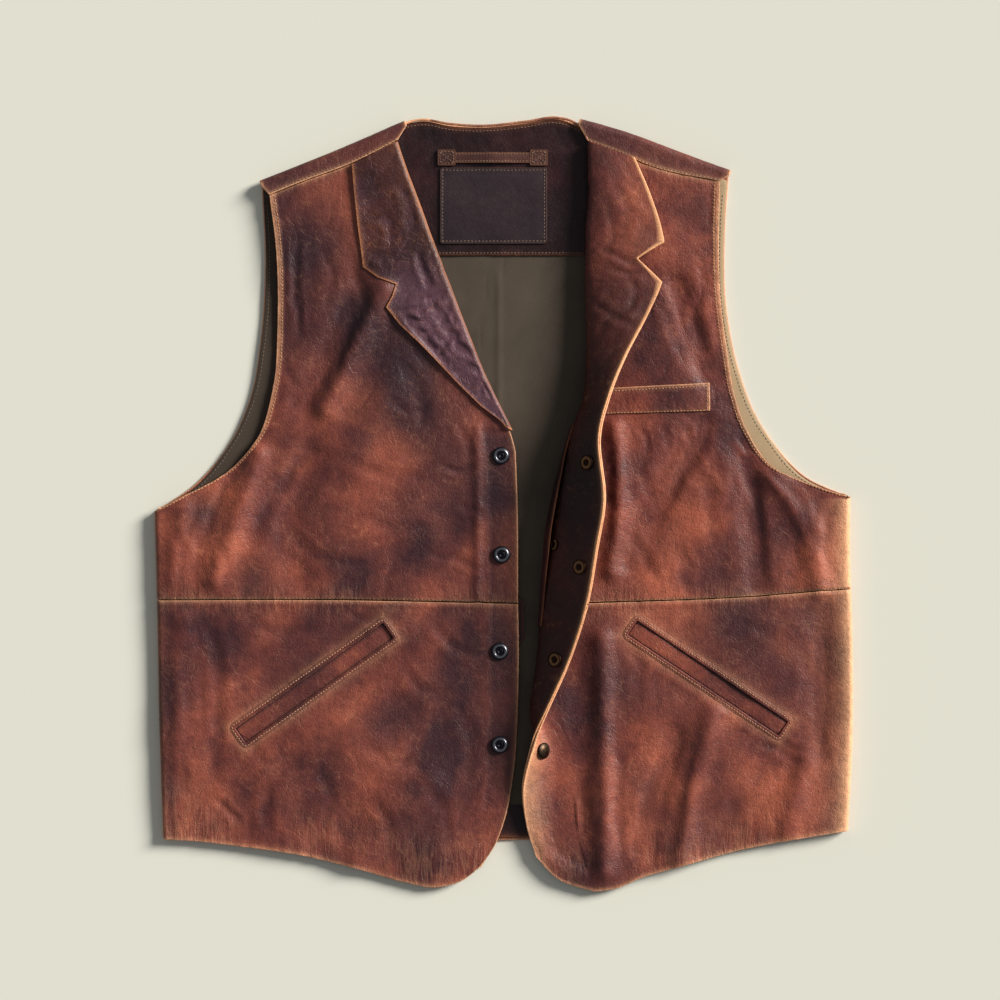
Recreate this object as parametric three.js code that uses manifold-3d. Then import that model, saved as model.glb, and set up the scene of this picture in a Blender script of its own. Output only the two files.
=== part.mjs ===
import * as THREE from 'three';
import Module from 'manifold-3d';
import { mergeVertices } from 'three/addons/utils/BufferGeometryUtils.js';

// A leather vest laid flat on its back, 571 mm from underarm to underarm and 585 mm long at the back.
// The frame: X across the vest, Y up towards the neck, Z up from the surface that it lies on.
// The origin is put under the middle of the whole vest at the end. All sizes are in millimetres.

// Thickness of each layer, and the play that sewn pieces keep to each other.
const BACK_LEATHER = 1.6;
const FRONT_LEATHER = 2.0;
const ROLLED_LEATHER = 1.6;
const FACING_LEATHER = 1.2;
const LAPEL_LEATHER = 1.4;
const COTTON = 1.0;
const PLAY = 0.3;
const SEAM_HALF_GAP = 0.15;

// Folds that close the body: the sides and the shoulders.
const SIDE_FOLD_RADIUS = 4.0;
const SHOULDER_FOLD_RADIUS = 5.0;

// Colours of the worn leather, its inner side, the cotton and the snaps.
const LEATHER = { color: 0x6b3d32, roughness: 0.55, metalness: 0 };
const WELT_LEATHER = { color: 0x5a3632, roughness: 0.5, metalness: 0 };
const INNER_LEATHER = { color: 0x4a2c26, roughness: 0.55, metalness: 0 };
const KHAKI = { color: 0x7d7762, roughness: 0.9, metalness: 0 };
const DARK_METAL = { color: 0x4c4a4c, roughness: 0.35, metalness: 0.9 };

// Outline of the back, as seen from the front.
const BACK_SIDE_LEFT = [[-286, -6], [-284, -78], [-282.5, -160], [-279, -274]];
const BACK_SIDE_RIGHT = [[284, 6], [284, -37], [286, -111], [286, -190], [282.5, -267]];
const BACK_ARMHOLE_LEFT = [[-200, 258], [-195.5, 196], [-199, 135], [-208, 86], [-225, 49], [-250, 19],
  [-286, -6]];
const BACK_ARMHOLE_RIGHT = [[186, 268], [181.5, 221], [183, 160], [193, 110], [207, 73], [222.5, 49],
  [246, 24], [284, 6]];
const BACK_HEM = [[-279, -274], [0, -275], [282.5, -267]];
const SHOULDER_FOLD_LEFT = [[-200, 265], [-167, 278], [-130, 293], [-81, 314.5]];
const SHOULDER_FOLD_RIGHT = [[62.5, 316], [104, 304], [141, 290], [186.5, 273.5]];
const NECK_EDGE = [[-79, 310], [-68, 314.5], [-44, 311], [-19, 309.5], [18, 313], [44, 317.5], [61, 311]];
const SHOULDER_SEAM_LEFT = [[-191.5, 253], [-167, 263], [-124, 279], [-86.5, 298]];
const SHOULDER_SEAM_RIGHT = [[69, 297], [86, 290.7], [128, 274], [177, 264.5]];

// Outline of the wearer's right front, which lies flat at the left.
const FRONT_ARMHOLE_LEFT = [[-191.5, 253], [-186, 208], [-185, 150], [-189, 94], [-201, 55], [-226, 27],
  [-265, 5], [-286, -6]];
const ROLL_RIM_LEFT = [[-89, 296.8], [-70, 243], [-44.5, 177], [-18.5, 110], [-5, 81], [5, 61], [10, 44]];
const UNDERARM_LINE_LEFT = [[-286, -6], [-140, 22], [10, 44]];
const PLACKET_UPPER_LEFT = [[10, 44], [11.5, 3], [12, -81]];
const WAIST_SEAM_LEFT = [[-284, -78], [-135, -78], [12, -81]];
const PLACKET_LOWER_LEFT = [[12, -81], [12.5, -119], [12, -160], [8.5, -218], [1, -258], [-8, -281],
  [-19, -296]];
const HEM_LEFT = [[-279, -274], [-249, -276], [-216, -280], [-167, -287], [-118, -299], [-81, -309.5],
  [-56, -313.5], [-34, -308], [-19, -296]];

// Outline of the wearer's left front, right of its rolled edge.
const FRONT_ARMHOLE_RIGHT = [[177, 264.5], [176, 217], [177.5, 168], [183, 125], [190, 86], [200, 59],
  [222, 29], [249, 17], [284, 6]];
const WAIST_SEAM_RIGHT = [[51, -81], [112, -79], [161, -77.5], [284.9, -69]];
const HEM_RIGHT = [[75, -317], [92, -314.5], [112, -306], [145, -296.5], [194, -283], [243, -273.5],
  [282.5, -267]];

// Height of each front's outer surface across its width, from the armhole or rolled edge at 'a' to 'e'.
// 'down' counts 0 at the shoulder seam, 1 at the underarm, 2 at the waist seam and 3 at the hem.
const FRONT_HEIGHTS_LEFT = table('down a b c d e', [
  [0, 10, 10, 10, 10, 10],
  [0.33, 6.5, 8.5, 9, 9.1, 9],
  [0.66, 6, 8, 8.5, 8.8, 8.6],
  [1, 8.5, 8.4, 8.6, 8.5, 8.1],
  [1.5, 8.5, 8.5, 8.6, 8, 7.2],
  [2, 8.5, 8.3, 8.2, 7.6, 6.8],
  [2.5, 8.5, 8, 8, 7.2, 6],
  [3, 8.5, 7, 6.6, 6.2, 5.8],
]);
const FRONT_HEIGHTS_RIGHT = table('down a b c d e', [
  [0, 10, 10, 10, 10, 10],
  [0.33, 8.6, 9.2, 9.5, 8.5, 6.4],
  [0.66, 7, 8.6, 9, 8, 6],
  [1, 6.6, 8.2, 8.6, 8.4, 8.5],
  [1.5, 6.6, 8.2, 8.6, 8.6, 8.5],
  [2, 6.6, 8.2, 8.4, 8.4, 8.5],
  [2.5, 6.8, 7.8, 8, 8, 8.5],
  [3, 6.6, 6.6, 6.6, 6.8, 8.5],
]);

// The large folds of each front: a line through three points, its half width and its rise.
const FOLDS_LEFT = table('x0 y0 x1 y1 x2 y2 width rise', [
  [-98, 174, -121, 127, -146, 79, 10, 2.2],
  [-201, 40, -218, -12, -236, -62, 9, 2.4],
  [-262, -4, -266, -32, -270, -60, 8, 1.2],
  [-21, 62, -21, 0, -21, -76, 4, 0.9],
  [-262, -95, -263, -150, -262, -210, 10, 1],
  [-160, 40, -175, -10, -170, -60, 13, -1.2],
  [-60, -230, -100, -262, -120, -294, 14, 1.2],
]);
const FOLDS_RIGHT = table('x0 y0 x1 y1 x2 y2 width rise', [
  [141, 180, 152, 142, 168, 106, 9, -2],
  [161, 62, 120, -4, 108, -46, 12, -2],
  [91, 62, 95, 3, 88, -54, 8, 1.8],
  [200, 50, 202, -4, 208, -66, 9, -2],
  [222, 20, 252, -21, 258, -66, 9, 1.6],
  [80, -111, 80, -210, 82, -300, 9, 2.2],
  [171, -172, 153, -230, 145, -290, 10, 2],
  [235, -210, 194, -246, 184, -281, 13, -1.6],
  [259, -95, 260, -150, 258, -201, 12, -1.2],
]);

// Sections of the rolled edge of the wearer's left front, from the shoulder seam down to the hem.
// Each runs from the free edge, round the roll that reaches furthest left, to its seat on the body.
const ROLL_SECTIONS = table('edgeX edgeY edgeZ rollX rollY rollZ seatX seatY', [
  [107, 283, 11.2, 71.5, 298.7, 14.5, 86, 290.7],
  [118.5, 256, 12.5, 72, 256, 20, 86, 256],
  [128, 228, 13.5, 70, 228, 21, 85, 228],
  [131.5, 205, 15, 69.5, 205, 22.5, 85, 205],
  [129, 181, 17, 69.5, 181, 24, 85, 181],
  [117, 153, 22, 70, 153, 25, 84, 153],
  [100, 120, 31, 70.5, 120, 24, 83, 120],
  [87, 87, 38, 68, 87, 22, 80, 87],
  [79, 52, 44, 56, 52, 21, 71, 52],
  [83, 5, 48, 46, 5, 20, 61, 5],
  [77, -35, 47, 40, -35, 18, 55, -35],
  [69, -81, 41, 34, -81, 16, 51, -81],
  [54.5, -127.5, 31, 30, -127.5, 14, 46, -127.5],
  [36, -170, 26, 25, -170, 11, 46, -170],
  [23.5, -201, 21, 33, -201, 9, 56, -203],
  [16, -232, 15, 31, -234, 9, 58, -238],
  [18.5, -262, 9.5, 33, -266, 8.8, 62, -276],
  [26, -287.5, 7, 44, -309, 8, 75, -317],
]);
const UNDERARM_SECTION = 9;
const WAIST_SECTION = 11;
const HEM_SECTION = 17;

// The notch in the right lapel, by section number, and how far it cuts in as a share of the section.
const NOTCH = { upperTip: 2.62, apex: 3.2, lowerTip: 4, depth: 0.115 };

// Sections of the left lapel, each from its outer edge to the roll, with the roll's lowest and
// highest level. The outer edge turns in at the notch between the fifth and ninth rows.
const LAPEL_SECTIONS = table('outerX outerY rollX rollY lowZ highZ', [
  [-124, 278.4, -86.6, 297.2, 5.7, 13.5],
  [-122.5, 258, -78, 272, 5.2, 13.2],
  [-119.5, 229, -67, 243, 4.6, 13],
  [-116, 203, -59.5, 222, 4.4, 13],
  [-115, 194, -56, 213, 4.4, 13],
  [-103, 185.5, -53.5, 206, 4.6, 13],
  [-88, 180, -51, 200, 4.4, 12.8],
  [-91, 170, -47.5, 190, 3.8, 12.6],
  [-96, 161, -43, 179, 3.6, 12.4],
  [-85, 147, -36, 160, 3.7, 12],
  [-68.5, 131.5, -27, 137, 3.8, 11.8],
  [-52, 114.5, -18, 114, 3.8, 11.6],
  [-35.5, 97, -9, 94, 3.8, 11.4],
  [-19, 81, -0.5, 77, 3.8, 11],
  [-3, 69, 4.6, 67, 3.8, 11],
  [3, 62.5, 7.4, 61, 3.8, 11],
]);
const LAPEL_LIFT = 0.8;
const LAPEL_UNDER_ARM = 7;

// The lining, the neck facing and what is sewn on it.
const LINING_SIDE_INSET = 6;
const LINING_ARMHOLE_INSET = 1;
const LINING_END_INSET = 4;
const PLEAT = { x: -4, width: 3, rise: 0.5 };
const NECK_FACING_TOP = [[-76, 307], [-66, 312], [-44, 310], [-19, 308.7], [18, 312], [43, 315.5], [57, 309]];
const NECK_FACING_BOTTOM = [[-92, 203.8], [0, 203.8], [74, 203.8]];
const LABEL = { x: -8.2, y: 244.6, width: 87.6, height: 62.4, thickness: 1.2, corner: 2 };
const LOOP = { x: -8.8, y: 284, length: 90, width: 8.5, end: 14.5, endWidth: 13, thickness: 1.4, arch: 1.6 };

// Pockets: windows in the lower fronts with an inset welt, and the chest welt.
const WINDOW_LEFT = { x: -154.8, y: -146, length: 148, width: 14.8, angle: 35.4 };
const WINDOW_RIGHT = { x: 167, y: -142, length: 148, width: 13.6, angle: -33.8 };
const WELT_DEPTH = { top: 0.5, thickness: 1.3 };
const CHEST_WELT = { topLeft: [80, 95], topRight: [168.5, 99.5], bottomLeft: [80, 73.5],
  bottomRight: [169, 76.5], thickness: 1.2 };
const POCKET_LIP = { fromSection: 7.7, toSection: 11.4, fromShare: 0.42, toShare: 0.6, gape: 3.2 };
const INNER_TAB = { x0: 3, x1: 16.5, y0: -114, y1: -77, z: 3.3, thickness: 1.2 };

// Snaps: turned profiles as radius and height, and where they sit.
const STUD_PROFILE = [[0, 0], [7, 0], [7, 0.9], [5.4, 1.8], [3.3, 1.8], [3, 0.8], [0, 0.8]];
const SOCKET_PROFILE = [[0, 0], [6.2, 0], [6.2, 0.8], [4.7, 1.6], [3.1, 1.6], [2.8, 0.7], [0, 0.7]];
const CAP_PROFILE = [[0, 0], [6.2, 0], [6.7, 0.5], [5.4, 1.6], [2.8, 2.2], [0, 2.4]];
const SMALL_SNAP_PROFILE = [[0, 0], [5, 0], [5, 0.6], [3.8, 1.3], [2.4, 1.3], [2.1, 0.6], [0, 0.6]];
const SNAP_SIDES = 12;
const STUD_PLACES = [[-2, 40], [-1.5, -41], [-3, -120], [-3, -196.5]];
const SNAP_LEVELS = table('height capStand', [[34, 1.3], [-50.5, 0.9], [-126, 0.6], [-201, 1.5]]);
const SNAP_FROM_EDGE = 13;
const SOCKET_STAND = 0.95;
const STUD_STAND = 0.8;
const POCKET_SNAP = { section: 9.95, share: 0.4 };

// A table's rows as objects with named columns.
function table(names, rows) {
  const keys = names.split(' ');
  return rows.map((row) => Object.fromEntries(keys.map((key, i) => [key, row[i]])));
}

// A smooth curve through rows of numbers at the given knots, with parabolic slopes.
function splineThrough(knots, rows) {
  const last = knots.length - 1;
  const slope = (i, k) => (rows[i + 1][k] - rows[i][k]) / (knots[i + 1] - knots[i]);
  const tangents = rows.map((row, i) => row.map((value, k) => {
    if (i === 0) return slope(0, k);
    if (i === last) return slope(last - 1, k);
    const before = knots[i] - knots[i - 1];
    const after = knots[i + 1] - knots[i];
    return (slope(i - 1, k) * after + slope(i, k) * before) / (before + after);
  }));
  return (t) => {
    let i = 0;
    while (i < last - 1 && t > knots[i + 1]) i += 1;
    const span = knots[i + 1] - knots[i];
    const s = (t - knots[i]) / span;
    const h00 = (1 + 2 * s) * (1 - s) * (1 - s);
    const h10 = s * (1 - s) * (1 - s) * span;
    const h01 = s * s * (3 - 2 * s);
    const h11 = s * s * (s - 1) * span;
    return rows[i].map((value, k) =>
      h00 * value + h10 * tangents[i][k] + h01 * rows[i + 1][k] + h11 * tangents[i + 1][k]);
  };
}

// A curve through points, run from 0 to 1 by the distance between them.
function curve(points) {
  const knots = [0];
  for (let i = 1; i < points.length; i += 1) {
    knots.push(knots[i - 1] + Math.hypot(...points[i].map((value, k) => value - points[i - 1][k])));
  }
  return splineThrough(knots.map((knot) => knot / knots[knots.length - 1]), points);
}

// A patch between four edges: across runs 0 to 1 from left to right, down 0 to 1 from top to bottom.
function patch(top, bottom, left, right) {
  return (across, down) => [0, 1].map((k) => {
    const sides = (1 - across) * left(down)[k] + across * right(down)[k];
    const ends = (1 - down) * top(across)[k] + down * bottom(across)[k];
    const corners = (1 - across) * ((1 - down) * top(0)[k] + down * bottom(0)[k])
      + across * ((1 - down) * top(1)[k] + down * bottom(1)[k]);
    return sides + ends - corners;
  });
}

// Patches one below the other, so that down runs on from 0 to their number.
function stack(patches) {
  return (across, down) => {
    const i = Math.min(patches.length - 1, Math.max(0, Math.floor(down)));
    return patches[i](across, down - i);
  };
}

// Height from a table of sections, across from its column a to its column e.
function heightFrom(rows) {
  const sections = splineThrough(rows.map((row) => row.down), rows.map((row) => [row.a, row.b, row.c,
    row.d, row.e]));
  return (across, down) => {
    const heights = sections(down).map((height) => [height]);
    return splineThrough([0, 0.25, 0.5, 0.75, 1], heights)(across)[0];
  };
}

// Distance from a point to a straight stretch of a fold.
function distanceTo(x, y, x0, y0, x1, y1) {
  const share = ((x - x0) * (x1 - x0) + (y - y0) * (y1 - y0)) / ((x1 - x0) ** 2 + (y1 - y0) ** 2);
  const s = Math.min(1, Math.max(0, share));
  return Math.hypot(x - x0 - s * (x1 - x0), y - y0 - s * (y1 - y0));
}

// Rise of all folds at a point: each is a rounded ridge or trough round its line.
function foldRise(folds, x, y) {
  return folds.reduce((sum, fold) => {
    const distance = Math.min(
      distanceTo(x, y, fold.x0, fold.y0, fold.x1, fold.y1),
      distanceTo(x, y, fold.x1, fold.y1, fold.x2, fold.y2),
    );
    return sum + fold.rise * Math.exp(-((distance / fold.width) ** 2));
  }, 0);
}

// How far a wall has turned down, or up, at a distance from the side fold.
function sideTurn(distance) {
  const inside = SIDE_FOLD_RADIUS - Math.min(SIDE_FOLD_RADIUS, Math.max(0, distance));
  return SIDE_FOLD_RADIUS - Math.sqrt(SIDE_FOLD_RADIUS ** 2 - inside ** 2);
}

// The x of a side fold at a height, carried straight on above the underarm.
function sideLine(points) {
  const rows = [...points].sort((a, b) => a[1] - b[1]);
  const at = splineThrough(rows.map((row) => row[1]), rows.map((row) => [row[0]]));
  const top = rows[rows.length - 1];
  return (y) => (y > top[1] ? top[0] : at(y)[0]);
}
const sideLeft = sideLine(BACK_SIDE_LEFT);
const sideRight = sideLine(BACK_SIDE_RIGHT);
const sideEdge = (line, from, to) => (share) => {
  const y = from + share * (to - from);
  return [line(y), y];
};
const sideTurnAt = (x, y) => sideTurn(x - sideLeft(y)) + sideTurn(sideRight(y) - x);

// The outer surface of the back, from the hem at down 0, past the underarm at 1, to the top at 2.
const backTop = (() => {
  const tangent = (points, sign) => points.map(([x, y]) => [x + sign * 0.38 * SHOULDER_FOLD_RADIUS,
    y - 0.92 * SHOULDER_FOLD_RADIUS]);
  return {
    left: curve(tangent(SHOULDER_FOLD_LEFT, 1)),
    neck: curve(NECK_EDGE),
    right: curve(tangent(SHOULDER_FOLD_RIGHT, -1)),
  };
})();
const NECK_FROM = 0.32;
const NECK_TO = 0.68;
const backOutline = (() => {
  const [armholeLeft, armholeRight] = [BACK_ARMHOLE_LEFT, BACK_ARMHOLE_RIGHT];
  const cornerLeft = backTop.left(0);
  const cornerRight = backTop.right(1);
  const join = (across) => {
    if (across <= NECK_FROM) return backTop.left(across / NECK_FROM);
    if (across >= NECK_TO) return backTop.right((across - NECK_TO) / (1 - NECK_TO));
    const s = (across - NECK_FROM) / (NECK_TO - NECK_FROM);
    const neck = backTop.neck(s);
    const from = backTop.left(1);
    const to = backTop.right(0);
    const firstMiss = [from[0] - backTop.neck(0)[0], from[1] - backTop.neck(0)[1]];
    const lastMiss = [to[0] - backTop.neck(1)[0], to[1] - backTop.neck(1)[1]];
    return neck.map((value, k) => value + (1 - s) * firstMiss[k] + s * lastMiss[k]);
  };
  const underarm = curve([[-286, -6], [284, 6]]);
  return stack([
    patch(curve(BACK_HEM), underarm, sideEdge(sideLeft, -274, -6), sideEdge(sideRight, -267, 6)),
    patch(underarm, join, curve([[-286, -6], ...[...armholeLeft].reverse().slice(1, -1), cornerLeft]),
      curve([[284, 6], ...[...armholeRight].reverse().slice(1, -1), cornerRight])),
  ]);
})();
const backSurface = (across, down) => {
  const [x, y] = backOutline(across, down);
  return new THREE.Vector3(x, y, sideTurnAt(x, y));
};

// The shoulder strip of the back: round the fold for round 0 to 1, then on to the seam for 1 to 2.
function shoulderStrip(tangentLine, seamPoints, outward) {
  const seam = curve(seamPoints);
  return (across, round) => {
    const [x, y] = tangentLine(across);
    if (round <= 1) {
      const angle = Math.PI * (round - 0.5);
      const out = SHOULDER_FOLD_RADIUS * Math.cos(angle);
      return new THREE.Vector3(x + outward[0] * out, y + outward[1] * out,
        SHOULDER_FOLD_RADIUS * (1 + Math.sin(angle)));
    }
    const [seamX, seamY] = seam(across);
    const s = round - 1;
    return new THREE.Vector3(x + s * (seamX - x), y + s * (seamY - y), 2 * SHOULDER_FOLD_RADIUS);
  };
}

// The outer surface of the wearer's right front, across from the side to the front edge.
const frontLeftOutline = stack([
  patch(curve([...SHOULDER_SEAM_LEFT.slice(0, -1), ROLL_RIM_LEFT[0]]), curve(UNDERARM_LINE_LEFT),
    curve(FRONT_ARMHOLE_LEFT), curve(ROLL_RIM_LEFT)),
  patch(curve(UNDERARM_LINE_LEFT), curve(WAIST_SEAM_LEFT), sideEdge(sideLeft, -6, -78),
    curve(PLACKET_UPPER_LEFT)),
  patch(curve(WAIST_SEAM_LEFT), curve(HEM_LEFT), sideEdge(sideLeft, -78, -274),
    curve(PLACKET_LOWER_LEFT)),
]);
const heightLeft = heightFrom(FRONT_HEIGHTS_LEFT);
const frontLeftSurface = (across, down) => {
  const [x, y] = frontLeftOutline(across, down);
  const z = heightLeft(across, down) + foldRise(FOLDS_LEFT, x, y) - sideTurnAt(x, y);
  return new THREE.Vector3(x, y, z);
};

// The control point that makes a section's roll reach just as far left as its table says.
function rollControl(row) {
  const toEdge = row.edgeX - row.rollX;
  const toSeat = row.seatX - row.rollX;
  if (toEdge <= 0) return row.rollX;
  let reach = (toEdge + toSeat) / 8;
  for (let i = 0; i < 20; i += 1) {
    const a = toEdge + reach;
    const b = toSeat + reach;
    reach = (a * b) / (Math.sqrt(a) + Math.sqrt(b)) ** 2;
  }
  return row.rollX - reach;
}
const rollRows = splineThrough(ROLL_SECTIONS.map((row, i) => i), ROLL_SECTIONS.map((row) => [
  row.edgeX, row.edgeY, row.edgeZ, rollControl(row), row.rollY, row.rollZ, row.seatX, row.seatY]));
const heightRight = heightFrom(FRONT_HEIGHTS_RIGHT);

// Section number of the rolled edge at each level of the right front.
function sectionAt(down) {
  if (down <= 1) return UNDERARM_SECTION * down;
  if (down <= 2) return UNDERARM_SECTION + (WAIST_SECTION - UNDERARM_SECTION) * (down - 1);
  return WAIST_SECTION + (HEM_SECTION - WAIST_SECTION) * (down - 2);
}
function levelAt(section) {
  if (section <= UNDERARM_SECTION) return section / UNDERARM_SECTION;
  if (section <= WAIST_SECTION) {
    return 1 + (section - UNDERARM_SECTION) / (WAIST_SECTION - UNDERARM_SECTION);
  }
  return 2 + (section - WAIST_SECTION) / (HEM_SECTION - WAIST_SECTION);
}

// The outer surface of the rolled edge, along from its free edge at 0 to its seat at 1.
const rollSurface = (along, section) => {
  const [edgeX, edgeY, edgeZ, rollX, rollY, rollZ, seatX, seatY] = rollRows(section);
  const seatZ = heightRight(0, levelAt(section)) + foldRise(FOLDS_RIGHT, seatX, seatY);
  const weights = [(1 - along) ** 3, 3 * along * (1 - along) ** 2, 3 * along ** 2 * (1 - along),
    along ** 3];
  const blend = (...values) => values.reduce((sum, value, i) => sum + weights[i] * value, 0);
  return new THREE.Vector3(blend(edgeX, rollX, rollX, seatX), blend(edgeY, rollY, rollY, seatY),
    blend(edgeZ, rollZ, seatZ - PLAY, seatZ));
};

// The outer surface of the wearer's left front, from the seat of its roll to the side.
const seatLine = (from, to) => (share) => rollRows(sectionAt(from + share * (to - from))).slice(6);
const frontRightOutline = stack([
  patch(curve(SHOULDER_SEAM_RIGHT.slice(1)), curve([[61, 5], [170, 6], [284, 6]]), seatLine(0, 1),
    curve(FRONT_ARMHOLE_RIGHT)),
  patch(curve([[61, 5], [170, 6], [284, 6]]), curve(WAIST_SEAM_RIGHT), seatLine(1, 2),
    sideEdge(sideRight, 6, -69)),
  patch(curve(WAIST_SEAM_RIGHT), curve(HEM_RIGHT), seatLine(2, 3), sideEdge(sideRight, -69, -267)),
]);
const frontRightSurface = (across, down) => {
  const [x, y] = frontRightOutline(across, down);
  const z = heightRight(across, down) + foldRise(FOLDS_RIGHT, x, y) - sideTurnAt(x, y);
  return new THREE.Vector3(x, y, z);
};

// The left lapel's surface: over the front for 0 to 1, round the roll to 2, and under to 3.
const lapelRows = splineThrough(LAPEL_SECTIONS.map((row, i) => i), LAPEL_SECTIONS.map((row) => [
  row.outerX, row.outerY, row.rollX, row.rollY, row.lowZ, row.highZ]));
const straightLapelRow = (section) => {
  const i = Math.min(LAPEL_SECTIONS.length - 2, Math.floor(section));
  const s = section - i;
  const [a, b] = [LAPEL_SECTIONS[i], LAPEL_SECTIONS[i + 1]];
  return [a.outerX + s * (b.outerX - a.outerX), a.outerY + s * (b.outerY - a.outerY)];
};
const lapelSurface = (round, section) => {
  const [, , rollX, rollY, lowZ, highZ] = lapelRows(section);
  const [outerX, outerY] = straightLapelRow(section);
  const radius = (highZ - lowZ) / 2;
  const length = Math.hypot(rollX - outerX, rollY - outerY);
  const [dirX, dirY] = [(rollX - outerX) / length, (rollY - outerY) / length];
  const [centreX, centreY] = [rollX - dirX * radius, rollY - dirY * radius];
  if (round <= 1) {
    const x = outerX + round * (centreX - outerX);
    const y = outerY + round * (centreY - outerY);
    const under = onSurface(frontLeftSurface, x, y, [0.8, 0.5]);
    const rest = under.z + PLAY + LAPEL_LEATHER + LAPEL_LIFT;
    return new THREE.Vector3(x, y, rest + round ** 2 * Math.max(0, highZ - rest));
  }
  if (round <= 2) {
    const angle = Math.PI * (1.5 - round);
    const out = radius * Math.cos(angle);
    return new THREE.Vector3(centreX + dirX * out, centreY + dirY * out,
      (lowZ + highZ) / 2 + radius * Math.sin(angle));
  }
  const back = Math.min(LAPEL_UNDER_ARM, 0.6 * length) * (round - 2);
  return new THREE.Vector3(centreX - dirX * back, centreY - dirY * back, lowZ);
};

// The point of a surface right above a place, found by Newton steps from a guess.
function onSurface(surface, x, y, guess) {
  let [a, b] = guess;
  const step = 1e-4;
  for (let i = 0; i < 25; i += 1) {
    const point = surface(a, b);
    const alongA = surface(a + step, b).sub(point).divideScalar(step);
    const alongB = surface(a, b + step).sub(point).divideScalar(step);
    const [missX, missY] = [x - point.x, y - point.y];
    const area = alongA.x * alongB.y - alongA.y * alongB.x;
    a += (missX * alongB.y - missY * alongB.x) / area;
    b += (alongA.x * missY - alongA.y * missX) / area;
    a = Math.min(1, Math.max(0, a));
    b = Math.min(2.999, Math.max(0, b));
  }
  const point = surface(a, b);
  point.params = [a, b];
  return point;
}

// The outward direction of a surface: up where across runs right and down runs down.
function outwardAt(surface, a, b, limits) {
  const step = 1e-4;
  const [a0, a1] = [Math.max(limits.a[0], a - step), Math.min(limits.a[1], a + step)];
  const [b0, b1] = [Math.max(limits.b[0], b - step), Math.min(limits.b[1], b + step)];
  const alongA = surface(a1, b).sub(surface(a0, b));
  const alongB = surface(a, b1).sub(surface(a, b0));
  return alongB.cross(alongA).normalize();
}

// A sheet of points and outward directions at each pair of the given parameters.
function sheet(surface, as, bs) {
  const limits = { a: [as[0], as[as.length - 1]], b: [bs[0], bs[bs.length - 1]] };
  return bs.map((b) => as.map((a) => ({ point: surface(a, b), outward: outwardAt(surface, a, b, limits) })));
}

// A closed wall between two offsets from one or more sheets that meet point on point.
function wall(sheets, from, to) {
  const nodes = [];
  const index = new Map();
  const triangles = [];
  const numberOf = ({ point, outward }) => {
    const key = point.toArray().map((value) => Math.round(value * 1e3)).join(' ');
    if (!index.has(key)) {
      index.set(key, nodes.length);
      nodes.push({ point, outward: new THREE.Vector3() });
    }
    const number = index.get(key);
    nodes[number].outward.add(outward);
    return number;
  };
  sheets.forEach((rows) => {
    const numbers = rows.map((row) => row.map(numberOf));
    for (let i = 0; i + 1 < rows.length; i += 1) {
      for (let j = 0; j + 1 < rows[i].length; j += 1) {
        const [p, q] = [numbers[i][j], numbers[i][j + 1]];
        const [r, s] = [numbers[i + 1][j], numbers[i + 1][j + 1]];
        triangles.push([p, r, q], [q, r, s]);
      }
    }
  });
  const kept = triangles.filter(([p, q, r]) => p !== q && q !== r && r !== p);
  const edges = new Set(kept.flatMap(([p, q, r]) => [`${p} ${q}`, `${q} ${r}`, `${r} ${p}`]));
  const positions = [];
  [to, from].forEach((offset) => nodes.forEach(({ point, outward }) => {
    positions.push(...point.clone().addScaledVector(outward.clone().normalize(), offset).toArray());
  }));
  const under = nodes.length;
  const faces = kept.flatMap(([p, q, r]) => [p, q, r, p + under, r + under, q + under]);
  edges.forEach((edge) => {
    const [p, q] = edge.split(' ').map(Number);
    if (!edges.has(`${q} ${p}`)) faces.push(q, p, p + under, q, p + under, q + under);
  });
  const geometry = new THREE.BufferGeometry();
  geometry.setAttribute('position', new THREE.Float32BufferAttribute(positions, 3));
  geometry.setIndex(faces);
  return geometry;
}

// Even steps from one value to another, both included.
const steps = (from, to, count) => Array.from({ length: count + 1 }, (_, i) => from + ((to - from) * i) / count);

// Geometry to and from a solid for cutting and joining.
const wasm = await Module();
wasm.setup();
function toSolid(geometry) {
  const bare = geometry.clone();
  bare.deleteAttribute('normal');
  bare.deleteAttribute('uv');
  const merged = mergeVertices(bare, 1e-4);
  return new wasm.Manifold(new wasm.Mesh({
    numProp: 3,
    vertProperties: new Float32Array(merged.attributes.position.array),
    triVerts: new Uint32Array(merged.index.array),
  }));
}
function toGeometry(solid) {
  const mesh = solid.getMesh();
  const geometry = new THREE.BufferGeometry();
  geometry.setAttribute('position', new THREE.Float32BufferAttribute(mesh.vertProperties, 3));
  geometry.setIndex(Array.from(mesh.triVerts));
  return geometry;
}

const vest = new THREE.Group();
function add(name, geometry, look) {
  const mesh = new THREE.Mesh(geometry, new THREE.MeshStandardMaterial(look));
  mesh.name = name;
  vest.add(mesh);
  return mesh;
}

// Columns across a front or the back that crowd where the side fold turns, for a width of 290 mm.
const turnColumns = [0, 0.15, 0.8, 2.2, SIDE_FOLD_RADIUS].map((distance) => distance / 290);
const backColumns = [
  ...turnColumns.map((share) => share / 2),
  ...steps(0.07, NECK_FROM, 4),
  ...steps(NECK_FROM, NECK_TO, 6).slice(1),
  ...steps(NECK_TO, 0.93, 4).slice(1),
  ...[...turnColumns].reverse().map((share) => 1 - share / 2),
];

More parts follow.
